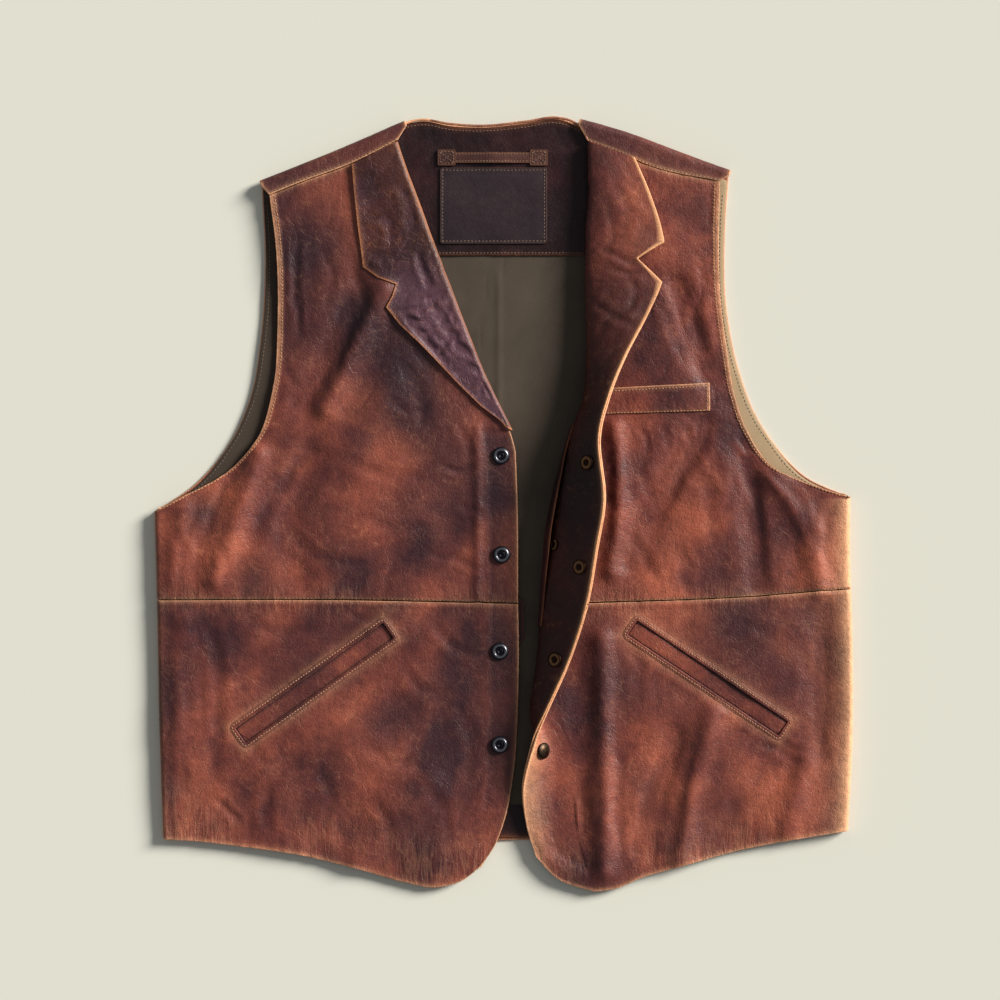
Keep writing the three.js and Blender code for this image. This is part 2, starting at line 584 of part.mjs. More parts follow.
// The back: one panel, with its sides turned up and its shoulders folded forward.
function makeBack() {
  const rows = [...steps(0, 1, 5), ...steps(1, 2, 7).slice(1)];
  const round = [...steps(0, 1, 5), 2 - SEAM_HALF_GAP / 10];
  const body = sheet(backSurface, backColumns, rows);
  const top = body[body.length - 1];
  const shoulder = (columns, tangentLine, seamPoints, outward) => {
    const strip = sheet(shoulderStrip(tangentLine, seamPoints, outward), columns, round);
    const first = outward[0] < 0 ? 0 : top.length - columns.length;
    strip[0].forEach((node, j) => node.point.copy(top[first + j].point));
    return strip;
  };
  const left = backColumns.filter((across) => across <= NECK_FROM).map((across) => across / NECK_FROM);
  const right = backColumns.filter((across) => across >= NECK_TO)
    .map((across) => (across - NECK_TO) / (1 - NECK_TO));
  return wall([
    body,
    shoulder(left, backTop.left, SHOULDER_SEAM_LEFT, [-0.38, 0.92]),
    shoulder(right, backTop.right, SHOULDER_SEAM_RIGHT, [0.38, 0.92]),
  ], -BACK_LEATHER, 0);
}

// The lining lies on the back, clear of the folds, with a soft pleat down its middle.
function makeLining() {
  const inset = splineThrough([0, 1, 1.25, 2], [[LINING_SIDE_INSET], [LINING_SIDE_INSET],
    [LINING_ARMHOLE_INSET], [LINING_ARMHOLE_INSET]]);
  const surface = (across, down) => {
    const [from, to] = [backOutline(0, down), backOutline(1, down)];
    const share = inset(down)[0] / (to[0] - from[0]);
    const [x, y] = backOutline(share + across * (1 - 2 * share), down);
    const pleat = PLEAT.rise * Math.exp(-(((x - PLEAT.x) / PLEAT.width) ** 2)) * (y < 190 ? 1 : 0);
    return new THREE.Vector3(x, y, -(BACK_LEATHER + PLAY + COTTON) - pleat);
  };
  const columns = [...steps(0, 0.4, 5), 0.46, 0.485, 0.4925, 0.5, 0.51, ...steps(0.56, 1, 5)];
  const rows = [...steps(LINING_END_INSET / 270, 1, 5), ...steps(1, 2 - LINING_END_INSET / 300, 7).slice(1)];
  const upright = (across, down) => {
    const point = surface(across, down);
    return point.setZ(-point.z);
  };
  return wall([sheet(upright, columns, rows)], 0, COTTON);
}

// The neck facing lies on the lining.
function makeNeckFacing() {
  const [top, bottom] = [curve(NECK_FACING_TOP), curve(NECK_FACING_BOTTOM)];
  const outline = patch(top, bottom, curve([top(0), bottom(0)]), curve([top(1), bottom(1)]));
  const level = BACK_LEATHER + COTTON + FACING_LEATHER + 2 * PLAY;
  const surface = (across, down) => {
    const [x, y] = outline(across, down);
    return new THREE.Vector3(x, y, level);
  };
  return wall([sheet(surface, steps(0, 1, 10), steps(0, 1, 2))], -FACING_LEATHER, 0);
}
const facingTop = BACK_LEATHER + COTTON + FACING_LEATHER + 2 * PLAY;

// The bare label patch has rounded corners.
function makeLabel() {
  const { width, height, corner, thickness } = LABEL;
  const [right, top] = [width / 2 - corner, height / 2 - corner];
  const shape = new THREE.Shape();
  shape.absarc(right, top, corner, 0, Math.PI / 2);
  shape.absarc(-right, top, corner, Math.PI / 2, Math.PI);
  shape.absarc(-right, -top, corner, Math.PI, 1.5 * Math.PI);
  shape.absarc(right, -top, corner, 1.5 * Math.PI, 2 * Math.PI);
  return new THREE.ExtrudeGeometry(shape, { depth: thickness, bevelEnabled: false, curveSegments: 3 });
}

// The hanging loop: two boxed ends, and a narrower strap that stands a little off the facing.
function makeLoop() {
  const { length, width, end, endWidth, thickness, arch } = LOOP;
  const inner = length / 2 - end;
  const side = new THREE.Shape();
  const rise = (x) => arch * Math.cos((Math.PI * x) / (2 * inner)) ** 2;
  const places = steps(-inner - 1, inner + 1, 10);
  side.moveTo(places[0], rise(inner));
  places.slice(1).forEach((x) => side.lineTo(x, rise(x)));
  [...places].reverse().forEach((x) => side.lineTo(x, thickness + rise(x)));
  side.closePath();
  const strap = new THREE.ExtrudeGeometry(side, { depth: width, bevelEnabled: false });
  strap.rotateX(Math.PI / 2).translate(0, width / 2, 0);
  const boxed = (centre) => new THREE.BoxGeometry(end, endWidth, thickness).translate(centre, 0, thickness / 2);
  return toGeometry(toSolid(strap).add(toSolid(boxed(inner + end / 2))).add(toSolid(boxed(-inner - end / 2))));
}

// A slanted window's frame of reference, along its length and across its width.
function windowPlace(pocket, along, across) {
  const angle = THREE.MathUtils.degToRad(pocket.angle);
  return [pocket.x + along * Math.cos(angle) - across * Math.sin(angle),
    pocket.y + along * Math.sin(angle) + across * Math.cos(angle)];
}
function cutWindow(geometry, pocket) {
  const block = new THREE.BoxGeometry(pocket.length, pocket.width, 40);
  block.rotateZ(THREE.MathUtils.degToRad(pocket.angle)).translate(pocket.x, pocket.y, 0);
  return toGeometry(toSolid(geometry).subtract(toSolid(block)));
}
function makeWindowWelt(surface, pocket, guess) {
  const halfLength = pocket.length / 2 - PLAY;
  const halfWidth = pocket.width / 2 - PLAY;
  const welt = (along, down) => {
    const [x, y] = windowPlace(pocket, along * halfLength, -down * halfWidth);
    return onSurface(surface, x, y, guess);
  };
  const levelSheet = sheet(welt, steps(-1, 1, 12), [-1, 0, 1]);
  levelSheet.forEach((row) => row.forEach((node) => node.outward.set(0, 0, 1)));
  return wall([levelSheet], -WELT_DEPTH.top - WELT_DEPTH.thickness, -WELT_DEPTH.top);
}

// The wearer's right front, in two panels that meet at the waist seam.
const frontColumnsLeft = [...turnColumns, 0.05, ...steps(0.12, 1, 9)];
function makeFrontLeft(from, to, counts) {
  const rows = counts.flatMap(([start, end, count], i) => steps(start, end, count).slice(i ? 1 : 0));
  rows[0] = from;
  rows[rows.length - 1] = to;
  return wall([sheet(frontLeftSurface, frontColumnsLeft, rows)], -FRONT_LEATHER, 0);
}

// The wearer's left front: its roll and its body meet point on point along the seat.
const rollColumns = steps(0, 1, 9);
const frontColumnsRight = [...steps(0, 0.93, 9), ...[...turnColumns].reverse().map((share) => 1 - share)];
const notchShare = (section) => {
  const { upperTip, apex, lowerTip, depth } = NOTCH;
  if (section <= upperTip || section >= lowerTip) return 0;
  return section < apex ? (depth * (section - upperTip)) / (apex - upperTip)
    : (depth * (lowerTip - section)) / (lowerTip - apex);
};
const notchedRoll = (along, section) => {
  const cut = notchShare(section) * Math.max(0, 1 - along / 0.5);
  return rollSurface(along + cut * (along < 0.5 ? 1 : 0), section);
};
function makeFrontRight(sections) {
  const roll = sheet(notchedRoll, rollColumns, sections);
  const body = sheet(frontRightSurface, frontColumnsRight, sections.map(levelAt));
  body.forEach((row, i) => row[0].point.copy(roll[i][roll[i].length - 1].point));
  return wall([roll, body], -ROLLED_LEATHER, 0);
}
const upperSections = [0.004, 0.5, 1, 1.8, NOTCH.upperTip, NOTCH.apex, NOTCH.lowerTip, 4.6, 5.3, 6, 6.5, 7,
  7.5, 8, 8.5, 9, 9.6, 10.3, WAIST_SECTION - 0.006];
const lowerSections = [WAIST_SECTION + 0.006, 11.7, 12.4, ...steps(13, 15, 4), ...steps(15.7, HEM_SECTION, 2)];

// The lapel and inner facing of the wearer's left front, in one piece over the roll.
function makeFacing() {
  const inner = -ROLLED_LEATHER - PLAY;
  const sections = [...upperSections.slice(0, -1), WAIST_SECTION, ...lowerSections.slice(1, -1),
    HEM_SECTION - 0.02];
  return wall([sheet(notchedRoll, rollColumns.slice(0, -2), sections)], inner - FACING_LEATHER, inner);
}

// The lip of the inner pocket stands off the facing beside the roll.
function makePocketLip() {
  const { fromSection, toSection, fromShare, toShare, gape } = POCKET_LIP;
  const start = ROLLED_LEATHER + FACING_LEATHER + 2 * PLAY;
  const surface = (along, section) => {
    const share = (section - fromSection) / (toSection - fromSection);
    const limits = { a: [0, 1], b: [0, HEM_SECTION] };
    const outward = outwardAt(rollSurface, along, section, limits);
    const away = start + gape * Math.sin(Math.PI * share) ** 2;
    return rollSurface(along, section).addScaledVector(outward, -away);
  };
  return wall([sheet(surface, steps(fromShare, toShare, 3), steps(fromSection, toSection, 10))],
    -FACING_LEATHER, 0);
}

// The chest welt is made from the front's own points, moved out.
function makeChestWelt() {
  const { topLeft, topRight, bottomLeft, bottomRight, thickness } = CHEST_WELT;
  const place = patch(curve([topLeft, topRight]), curve([bottomLeft, bottomRight]),
    curve([topLeft, bottomLeft]), curve([topRight, bottomRight]));
  const surface = (across, down) => {
    const [x, y] = place(across, down);
    return onSurface(frontRightSurface, x, y, [0.3, 0.7]);
  };
  return wall([sheet(surface, steps(0, 1, 8), steps(0, 1, 2))], 2 * PLAY, 2 * PLAY + thickness);
}

// The left lapel, rolled over the front edge and a little way under it.
function makeLapelLeft() {
  const rounds = [...steps(0, 1, 5), ...steps(1, 2, 4).slice(1), 3];
  const sections = [0.012, ...steps(1, LAPEL_SECTIONS.length - 1, LAPEL_SECTIONS.length - 2)];
  const rows = sheet(lapelSurface, rounds, sections);
  rows.forEach((row) => row.slice(0, 5).forEach((node) => node.outward.set(0, 0, 1)));
  return wall([rows], -LAPEL_LEATHER, 0);
}

// A snap part turned round its axis, then set on a surface with its axis along the outward direction.
function addSnap(name, profile, point, outward) {
  const geometry = new THREE.LatheGeometry(profile.map(([r, h]) => new THREE.Vector2(r, h)), SNAP_SIDES);
  const closed = toGeometry(toSolid(geometry));
  const mesh = add(name, closed, DARK_METAL);
  mesh.quaternion.setFromUnitVectors(new THREE.Vector3(0, 1, 0), outward);
  mesh.position.copy(point);
}

// The place on the rolled edge at a height and a distance in from the free edge.
function fromFreeEdge(height, distance) {
  let section = 7;
  while (rollSurface(0.2, section).y > height) section += 0.01;
  let along = 0;
  let walked = 0;
  while (walked < distance) {
    walked += rollSurface(along, section).distanceTo(rollSurface(along + 0.002, section));
    along += 0.002;
  }
  return { along, section };
}

const leftUpperGap = SEAM_HALF_GAP / 80;
const leftLowerGap = SEAM_HALF_GAP / 200;
const shoulderGap = SEAM_HALF_GAP / 280;
add('back', makeBack(), LEATHER);
add('back_lining', makeLining(), KHAKI);
add('neck_facing', makeNeckFacing(), INNER_LEATHER);
add('label_patch', makeLabel(), WELT_LEATHER).position.set(LABEL.x, LABEL.y, facingTop + PLAY);
add('hanging_loop', makeLoop(), INNER_LEATHER).position.set(LOOP.x, LOOP.y, facingTop + PLAY);
add('front_left_upper', makeFrontLeft(shoulderGap, 2 - leftUpperGap, [[0, 1, 9], [1, 2, 3]]), LEATHER);
add('front_left_lower', cutWindow(makeFrontLeft(2 + leftLowerGap, 3, [[2, 3, 8]]), WINDOW_LEFT), LEATHER);
add('front_right_upper', makeFrontRight(upperSections), LEATHER);
add('front_right_lower', cutWindow(makeFrontRight(lowerSections), WINDOW_RIGHT), LEATHER);
add('lapel_left', makeLapelLeft(), LEATHER);
add('facing_right', makeFacing(), INNER_LEATHER);
add('chest_welt', makeChestWelt(), WELT_LEATHER);
add('pocket_welt_left', makeWindowWelt(frontLeftSurface, WINDOW_LEFT, [0.5, 2.3]), WELT_LEATHER);
add('pocket_welt_right', makeWindowWelt(frontRightSurface, WINDOW_RIGHT, [0.5, 2.3]), WELT_LEATHER);
add('inner_pocket_lip', makePocketLip(), INNER_LEATHER);
add('inner_tab', new THREE.BoxGeometry(INNER_TAB.x1 - INNER_TAB.x0, INNER_TAB.y1 - INNER_TAB.y0,
  INNER_TAB.thickness), INNER_LEATHER).position.set((INNER_TAB.x0 + INNER_TAB.x1) / 2,
  (INNER_TAB.y0 + INNER_TAB.y1) / 2, INNER_TAB.z + INNER_TAB.thickness / 2);

STUD_PLACES.forEach(([x, y], i) => {
  const point = onSurface(frontLeftSurface, x, y, [0.95, 1.5]);
  const outward = outwardAt(frontLeftSurface, ...point.params, { a: [0, 1], b: [0, 3] });
  addSnap(`snap_stud_${i + 1}`, STUD_PROFILE, point.addScaledVector(outward, STUD_STAND), outward);
});
const rollLimits = { a: [0, 1], b: [0, HEM_SECTION] };
SNAP_LEVELS.forEach(({ height, capStand }, i) => {
  const { along, section } = fromFreeEdge(height, SNAP_FROM_EDGE);
  const outward = outwardAt(rollSurface, along, section, rollLimits);
  const point = rollSurface(along, section);
  const facingSide = ROLLED_LEATHER + FACING_LEATHER + PLAY + SOCKET_STAND;
  addSnap(`snap_cap_${i + 1}`, CAP_PROFILE, point.clone().addScaledVector(outward, capStand), outward);
  addSnap(`snap_socket_${i + 1}`, SOCKET_PROFILE, point.clone().addScaledVector(outward, -facingSide),
    outward.clone().negate());
});
const pocketOutward = outwardAt(rollSurface, POCKET_SNAP.share, POCKET_SNAP.section, rollLimits);
addSnap('inner_pocket_snap', SMALL_SNAP_PROFILE, rollSurface(POCKET_SNAP.share, POCKET_SNAP.section)
  .addScaledVector(pocketOutward, -(ROLLED_LEATHER + FACING_LEATHER + 2 * PLAY)), pocketOutward.negate());

// The origin goes under the middle of the whole vest, on the surface that it lies on.
const group = new THREE.Group();
group.add(vest);
vest.updateMatrixWorld(true);
const bounds = new THREE.Box3().setFromObject(vest, true);
const middle = bounds.getCenter(new THREE.Vector3());
vest.position.set(-middle.x, -middle.y, -bounds.min.z);

export default group;
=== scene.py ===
import math

import bpy
import numpy as np
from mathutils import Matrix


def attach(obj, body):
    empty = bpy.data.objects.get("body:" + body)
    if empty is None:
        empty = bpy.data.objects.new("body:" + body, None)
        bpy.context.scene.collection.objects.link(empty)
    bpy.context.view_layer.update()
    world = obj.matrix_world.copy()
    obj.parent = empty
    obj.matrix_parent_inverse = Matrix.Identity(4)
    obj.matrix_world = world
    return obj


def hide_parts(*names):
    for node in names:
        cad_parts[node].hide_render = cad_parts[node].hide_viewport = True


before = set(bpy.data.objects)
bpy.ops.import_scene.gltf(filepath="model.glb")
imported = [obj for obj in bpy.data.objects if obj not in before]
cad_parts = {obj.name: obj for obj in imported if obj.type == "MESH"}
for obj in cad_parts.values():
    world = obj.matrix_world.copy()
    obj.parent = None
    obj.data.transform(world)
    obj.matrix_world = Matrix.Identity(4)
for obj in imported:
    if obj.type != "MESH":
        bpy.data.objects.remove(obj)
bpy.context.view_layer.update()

# The vest lies on a pale floor, seen from straight above, with soft light from the right and the neck.
# The camera stands three metres up, and 820 mm at the vest fill the picture.
CAMERA_HEIGHT = 3.0
CAMERA_PLACE = (-0.00305, 0.00323)
FIELD = 0.82
SENSOR = 36.0
KEY_TURN = 62
KEY_ELEVATION = 25
KEY_SPREAD = 22
KEY_STRENGTH = 6.12
KEY_COLOUR = (1.0, 0.96, 0.9)
SKY_STRENGTH = 0.25
SKY_COLOUR = (0.93, 0.96, 1.0, 1.0)
FLOOR_COLOUR = (220, 220, 208)
FLOOR_SHADE = (218, 218, 206)
FLOOR_HALF = 4
FLOOR_DROP = 0.0004


def paint(red, green, blue):
    """A colour given as the three numbers of a paint chart, 0 to 255, as Blender's linear colour."""
    parts = [c / 255 for c in (red, green, blue)]
    linear = [c / 12.92 if c < 0.04045 else ((c + 0.055) / 1.055) ** 2.4 for c in parts]
    return (*linear, 1.0)


class Wire:
    """One output of a material's node. Arithmetic on it adds Math nodes."""

    def __init__(self, tree, socket):
        self.tree = tree
        self.socket = socket

    def math(self, operation, *values):
        """This sum worked out by the material for every place."""
        return node(self.tree, "ShaderNodeMath", {"operation": operation}, dict(enumerate(values)))

    def __add__(self, other):
        return self.math("ADD", self, other)

    def __sub__(self, other):
        return self.math("SUBTRACT", self, other)

    def __rsub__(self, other):
        return self.math("SUBTRACT", other, self)

    def __mul__(self, other):
        return self.math("MULTIPLY", self, other)

    def __pow__(self, other):
        return self.math("POWER", self, other)

    def limit(self):
        """The value kept between nothing and one."""
        return self.math("MINIMUM", self.math("MAXIMUM", self, 0.0), 1.0)

    def apart(self, value):
        """How far this value lies from another, without its sign."""
        difference = self - value
        return difference.math("ABSOLUTE", difference)

    __radd__ = __add__
    __rmul__ = __mul__


def node(tree, kind, settings, inputs, output=0):
    """A node of a type, with its settings, then the values or wires of its sockets."""
    made = tree.nodes.new(kind)
    for name, value in settings.items():
        if name == "stops":
            while len(made.color_ramp.elements) < len(value):
                made.color_ramp.elements.new(0.5)
            for element, (position, colour) in zip(made.color_ramp.elements, value):
                element.position = position
                element.color = colour
        else:
            setattr(made, name, value)
    for key, value in inputs.items():
        if isinstance(value, Wire):
            tree.links.new(value.socket, made.inputs[key])
        else:
            made.inputs[key].default_value = value
    return Wire(tree, made.outputs[output])


def new_material(name, **constants):
    """A material with constants set on its shader's own sockets.

    Gives it, its nodes, the place on the object in metres, and a way to connect a wire to the shader.
    """
    material = bpy.data.materials.new(name)
    material.use_nodes = True
    tree = material.node_tree
    shader = tree.nodes["Principled BSDF"]
    for key, value in constants.items():
        shader.inputs[key.replace("_", " ")].default_value = value

    def connect(key, wire):
        """Lead a wire to one of the surface's inputs."""
        tree.links.new(wire.socket, shader.inputs[key])

    return material, tree, node(tree, "ShaderNodeTexCoord", {}, {}, "Object"), connect


def blend(factor, first, second):
    """Two colours mixed by a factor."""
    return node(factor.tree, "ShaderNodeMix", {"data_type": "RGBA"}, {0: factor, 6: first, 7: second}, 2)


def cloud(tree, place, size, detail=3.0, rough=0.55, twist=0.0):
    """Noise whose patches are about size millimetres across."""
    return node(tree, "ShaderNodeTexNoise", {}, {"Vector": place, "Scale": 1000 / size, "Detail": detail,
                                                 "Roughness": rough, "Distortion": twist})


scene = bpy.context.scene
scene.view_settings.view_transform = "Standard"
camera = bpy.data.objects.new("camera", bpy.data.cameras.new("camera"))
camera.location = (*CAMERA_PLACE, CAMERA_HEIGHT)
camera.data.sensor_width = SENSOR
camera.data.lens = SENSOR * CAMERA_HEIGHT / FIELD
scene.collection.objects.link(camera)
scene.camera = camera

key = bpy.data.objects.new("window_light", bpy.data.lights.new("window_light", "SUN"))
key.data.energy = KEY_STRENGTH
key.data.angle = math.radians(KEY_SPREAD)
key.data.color = KEY_COLOUR
key.rotation_euler = (math.radians(90 - KEY_ELEVATION), 0, math.radians(180 - KEY_TURN))
scene.collection.objects.link(key)

world = bpy.data.worlds.new("studio")
world.use_nodes = True
sky = world.node_tree.nodes["Background"]
sky.inputs["Color"].default_value = SKY_COLOUR
sky.inputs["Strength"].default_value = SKY_STRENGTH
scene.world = world

paper, tree, place, connect = new_material("floor_paper", Roughness=0.9, Specular_IOR_Level=0.1)
connect("Base Color", blend(cloud(tree, place, 400) * 0.15, paint(*FLOOR_COLOUR), paint(*FLOOR_SHADE)))
floor = bpy.data.objects.new("floor", bpy.data.meshes.new("floor"))
floor.data.from_pydata([(a * FLOOR_HALF, b * FLOOR_HALF, -FLOOR_DROP)
                        for a, b in ((-1, -1), (1, -1), (1, 1), (-1, 1))], [], [(0, 1, 2, 3)])
floor.data.materials.append(paper)
scene.collection.objects.link(floor)

# The back is one panel of 1.6 mm leather, cut with its shoulders, which fold forward to a seam.
# It carries the whole vest, so it is flat where it rests, with a few pressed creases.
BACK_LEATHER = 1.6
SIDE_FOLD_RADIUS = 4.0
SHOULDER_FOLD_RADIUS = 5.0
MIDDLE = (0.18, 0.46)
BACK_SIDE_LEFT = [[-286, -6], [-284, -78], [-282.5, -160], [-279, -274]]
BACK_SIDE_RIGHT = [[284, 6], [284, -37], [286, -111], [286, -190], [282.5, -267]]
BACK_ARMHOLE_LEFT = [[-200, 258], [-195.5, 196], [-199, 135], [-208, 86], [-225, 49], [-250, 19],
                     [-286, -6]]
BACK_ARMHOLE_RIGHT = [[186, 268], [181.5, 221], [183, 160], [193, 110], [207, 73], [222.5, 49],
                      [246, 24], [284, 6]]
BACK_HEM = [[-279, -274], [0, -275], [282.5, -267]]
SHOULDER_FOLD_LEFT = [[-200, 265], [-167, 278], [-130, 293], [-81, 314.5]]
SHOULDER_FOLD_RIGHT = [[62.5, 316], [104, 304], [141, 290], [186.5, 273.5]]
NECK_EDGE = [[-79, 310], [-68, 314.5], [-44, 311], [-19, 309.5], [18, 313], [44, 317.5], [61, 311]]
SHOULDER_SEAM_LEFT = [[-191.5, 253], [-167, 263], [-124, 279], [-86.5, 298]]
SHOULDER_SEAM_RIGHT = [[69, 297], [86, 290.7], [128, 274], [177, 264.5]]
SHOULDER_OUT = (0.38, 0.92)
NECK_FROM = 0.32
NECK_TO = 0.68


def cubic(s, low, high, low_slope, high_slope):
    """A cubic that leaves one value with a slope and reaches another with its own, as s runs 0 to 1."""
    return ((1 + 2 * s) * (1 - s) ** 2 * low + s * (1 - s) ** 2 * low_slope
            + s * s * (3 - 2 * s) * high + s * s * (s - 1) * high_slope)


def spline(knots, rows):
    """A smooth curve through rows of numbers: cubic pieces whose slopes weigh both neighbours' spans."""
    knots = np.asarray(knots, float)
    rows = np.asarray(rows, float)
    secants = np.diff(rows, axis=0) / np.diff(knots)[:, None]
    before = np.diff(knots)[:-1, None]
    after = np.diff(knots)[1:, None]
    inner = (secants[:-1] * after + secants[1:] * before) / (before + after)
    slopes = np.vstack([secants[:1], inner, secants[-1:]])

    def at(t):
        t = np.asarray(t, float)
        i = np.clip(np.searchsorted(knots, t) - 1, 0, len(knots) - 2)
        span = (knots[i + 1] - knots[i])[..., None]
        return cubic((t - knots[i])[..., None] / span, rows[i], rows[i + 1], span * slopes[i],
                     span * slopes[i + 1])
    return at


def run_along(points):
    """The distance run along a line of points, from 0 at its first point."""
    steps = np.linalg.norm(np.diff(np.asarray(points, float), axis=0), axis=1)
    return np.concatenate([[0], np.cumsum(steps)])


def curve(points):
    """A spline through points, run from 0 to 1 by the distance between them."""
    run = run_along(points)
    return spline(run / run[-1], points)


def unit(ways):
    """Directions brought to length 1."""
    return ways / np.linalg.norm(ways, axis=-1, keepdims=True)


def fade(distance, width):
    """1 at nought, and less by the same share over each width."""
    return np.exp(-distance / width)


def bell(distance, width):
    """1 at nought, falling off on both sides as a bell of a half width."""
    return np.exp(-(distance / width) ** 2)


def patch(top, bottom, left, right):
    """A patch between four edges: the two pairs blended straight, less the blend of the corners."""
    def at(across, down):
        u = across[..., None]
        v = down[..., None]
        corners = ((1 - u) * ((1 - v) * top(0.0) + v * bottom(0.0))
                   + u * ((1 - v) * top(1.0) + v * bottom(1.0)))
        return ((1 - u) * left(down) + u * right(down) + (1 - v) * top(across) + v * bottom(across)
                - corners)
    return at


def stack(patches):
    """Patches one below the other, so that down runs on from 0 to their number."""
    def at(across, down):
        across, down = np.broadcast_arrays(np.asarray(across, float), np.asarray(down, float))
        number = np.clip(np.floor(down), 0, len(patches) - 1)
        out = np.empty(across.shape + (2,))
        for i, one in enumerate(patches):
            chosen = number == i
            out[chosen] = one(across[chosen], down[chosen] - i)
        return out
    return at


def side_line(points):
    """The x of a side fold at a height, carried straight on above the underarm."""
    rows = np.array(sorted(points, key=lambda point: point[1]), float)
    at = spline(rows[:, 1], rows[:, :1])
    return lambda y: np.where(y > rows[-1, 1], rows[-1, 0], at(np.minimum(y, rows[-1, 1]))[..., 0])


side_left = side_line(BACK_SIDE_LEFT)
side_right = side_line(BACK_SIDE_RIGHT)


def side_edge(line, start, end):
    """The side fold as an edge of a patch, from one height to another."""
    def at(share):
        y = start + np.asarray(share, float) * (end - start)
        return np.stack([line(y), y], axis=-1)
    return at


def side_turn(x, y):
    """How far a wall has turned round the side folds: a quarter circle of the fold's radius."""
    inside = [SIDE_FOLD_RADIUS - np.clip(d, 0, SIDE_FOLD_RADIUS)
              for d in (x - side_left(y), side_right(y) - x)]
    return sum(SIDE_FOLD_RADIUS - np.sqrt(SIDE_FOLD_RADIUS ** 2 - d ** 2) for d in inside)


def crowded(start, end, step_count, band, band_count):
    """Even steps from start to end, with finer steps in a band of the given share at both ends."""
    width = end - start
    return np.unique(np.round(np.concatenate([
        np.linspace(start, start + band * width, band_count, endpoint=False),
        np.linspace(start + band * width, end - band * width, step_count, endpoint=False),
        np.linspace(end - band * width, end, band_count + 1)]), 7))


def hills(x, y, size, seed):
    """Gradient noise from -1 to 1: random slopes on a square net of the size, joined smoothly."""
    angles = np.random.default_rng(seed).uniform(0, 2 * math.pi, (64, 64))
    u, v = x / size, y / size
    i, j = np.floor(u).astype(int), np.floor(v).astype(int)
    fu, fv = u - i, v - j
    ease_u, ease_v = (f ** 3 * (f * (f * 6 - 15) + 10) for f in (fu, fv))

    def corner(di, dj):
        """A slope of random direction at one corner of the cell, reaching to the place."""
        angle = angles[(i + di) % 64, (j + dj) % 64]
        return np.cos(angle) * (fu - di) + np.sin(angle) * (fv - dj)
    low = corner(0, 0) * (1 - ease_u) + corner(1, 0) * ease_u
    high = corner(0, 1) * (1 - ease_u) + corner(1, 1) * ease_u
    return 1.5 * (low * (1 - ease_v) + high * ease_v)


def wrinkles(x, y, size, seed, slant=0.0, stretch=1.0):
    """Winding lines, 1 on the line and 0 beside it: where warped noise crosses nought.

    The lines run longer by the stretch along the slant, in degrees.
    """
    c, s = math.cos(math.radians(slant)), math.sin(math.radians(slant))
    along, across = (x * c + y * s) / stretch, y * c - x * s
    warp = 0.35 * size * hills(along, across, 1.4 * size, seed + 1)
    crossing = hills(along + warp, across - warp, size, seed)
    return np.clip(1 - 3.2 * np.abs(crossing), 0, 1) ** 2


def skin(x, y, swell, *lines):
    """The relief of a small piece: low swells, less winding lines.

    The swell's columns are its rise, size and seed; a line's are its depth, size, seed, slant and stretch.
    """
    return (swell[0] * hills(x, y, *swell[1:])
            - sum(depth * wrinkles(x, y, *shape) for depth, *shape in lines))


def line_distance(x, y, points):
    """Distance to a line of straight stretches, and the share of its length at the nearest place."""
    points = np.asarray(points, float)
    lengths = np.linalg.norm(np.diff(points, axis=0), axis=1)
    best = np.full(np.shape(x), 1e9)
    share = np.zeros(np.shape(x))
    for i, length in enumerate(lengths):
        (x0, y0), (x1, y1) = points[i], points[i + 1]
        s = np.clip(((x - x0) * (x1 - x0) + (y - y0) * (y1 - y0)) / length ** 2, 0, 1)
        d = np.hypot(x - x0 - s * (x1 - x0), y - y0 - s * (y1 - y0))
        nearer = d < best
        best = np.where(nearer, d, best)
        share = np.where(nearer, (lengths[:i].sum() + s * length) / lengths.sum(), share)
    return best, share


def fold_rise(rows, x, y):
    """The large folds: each is a bell of its rise and width round its line."""
    return sum(row[7] * bell(line_distance(x, y, np.reshape(row[:6], (3, 2)))[0], row[6]) for row in rows)


def creases(rows, x, y):
    """The worked-in creases: a trough along each bent line, between two lower ridges.

    It fades out at both ends, its line wanders by a little noise, and a negative depth makes a ridge.
    """
    wander = 2.2 * hills(x, y, 16, 5) + 0.9 * hills(x, y, 6, 6)
    total = np.zeros(np.shape(x))
    for row in rows:
        distance, share = line_distance(x + wander, y - wander, np.reshape(row[:6], (3, 2)))
        u = distance / row[6]
        ends = np.clip(5 * share * (1 - share), 0, 1) ** 0.7
        total += row[7] * ends * (0.45 * bell(u - 1.9, 0.8) - bell(u, 1))
    return total


def arc(grid, axis):
    """The distance run along each row or column of a grid of points, from its first point."""
    steps = np.linalg.norm(np.diff(grid, axis=axis), axis=-1)
    zero = np.zeros_like(np.take(steps, [0], axis=axis))
    return np.concatenate([zero, np.cumsum(steps, axis=axis)], axis=axis)


def crossed(first, second):
    """The area between two flat directions: x by y, less y by x."""
    return first[..., 0] * second[..., 1] - first[..., 1] * second[..., 0]


def locate(surface, x, y, across, down, last=2.999):
    """The parameters of a surface right above places, by Newton steps from a guess."""
    across = np.full(np.shape(x), float(across))
    down = np.full(np.shape(x), float(down))
    step = 1e-4
    for _ in range(18):
        here = surface(across, down)[..., :2]
        by_across = (surface(across + step, down)[..., :2] - here) / step
        by_down = (surface(across, down + step)[..., :2] - here) / step
        miss = np.stack([x, y], axis=-1) - here
        area = crossed(by_across, by_down)
        across = np.clip(across + crossed(miss, by_down) / area, 0, 1)
        down = np.clip(down + crossed(by_across, miss) / area, 0, last)
    return across, down


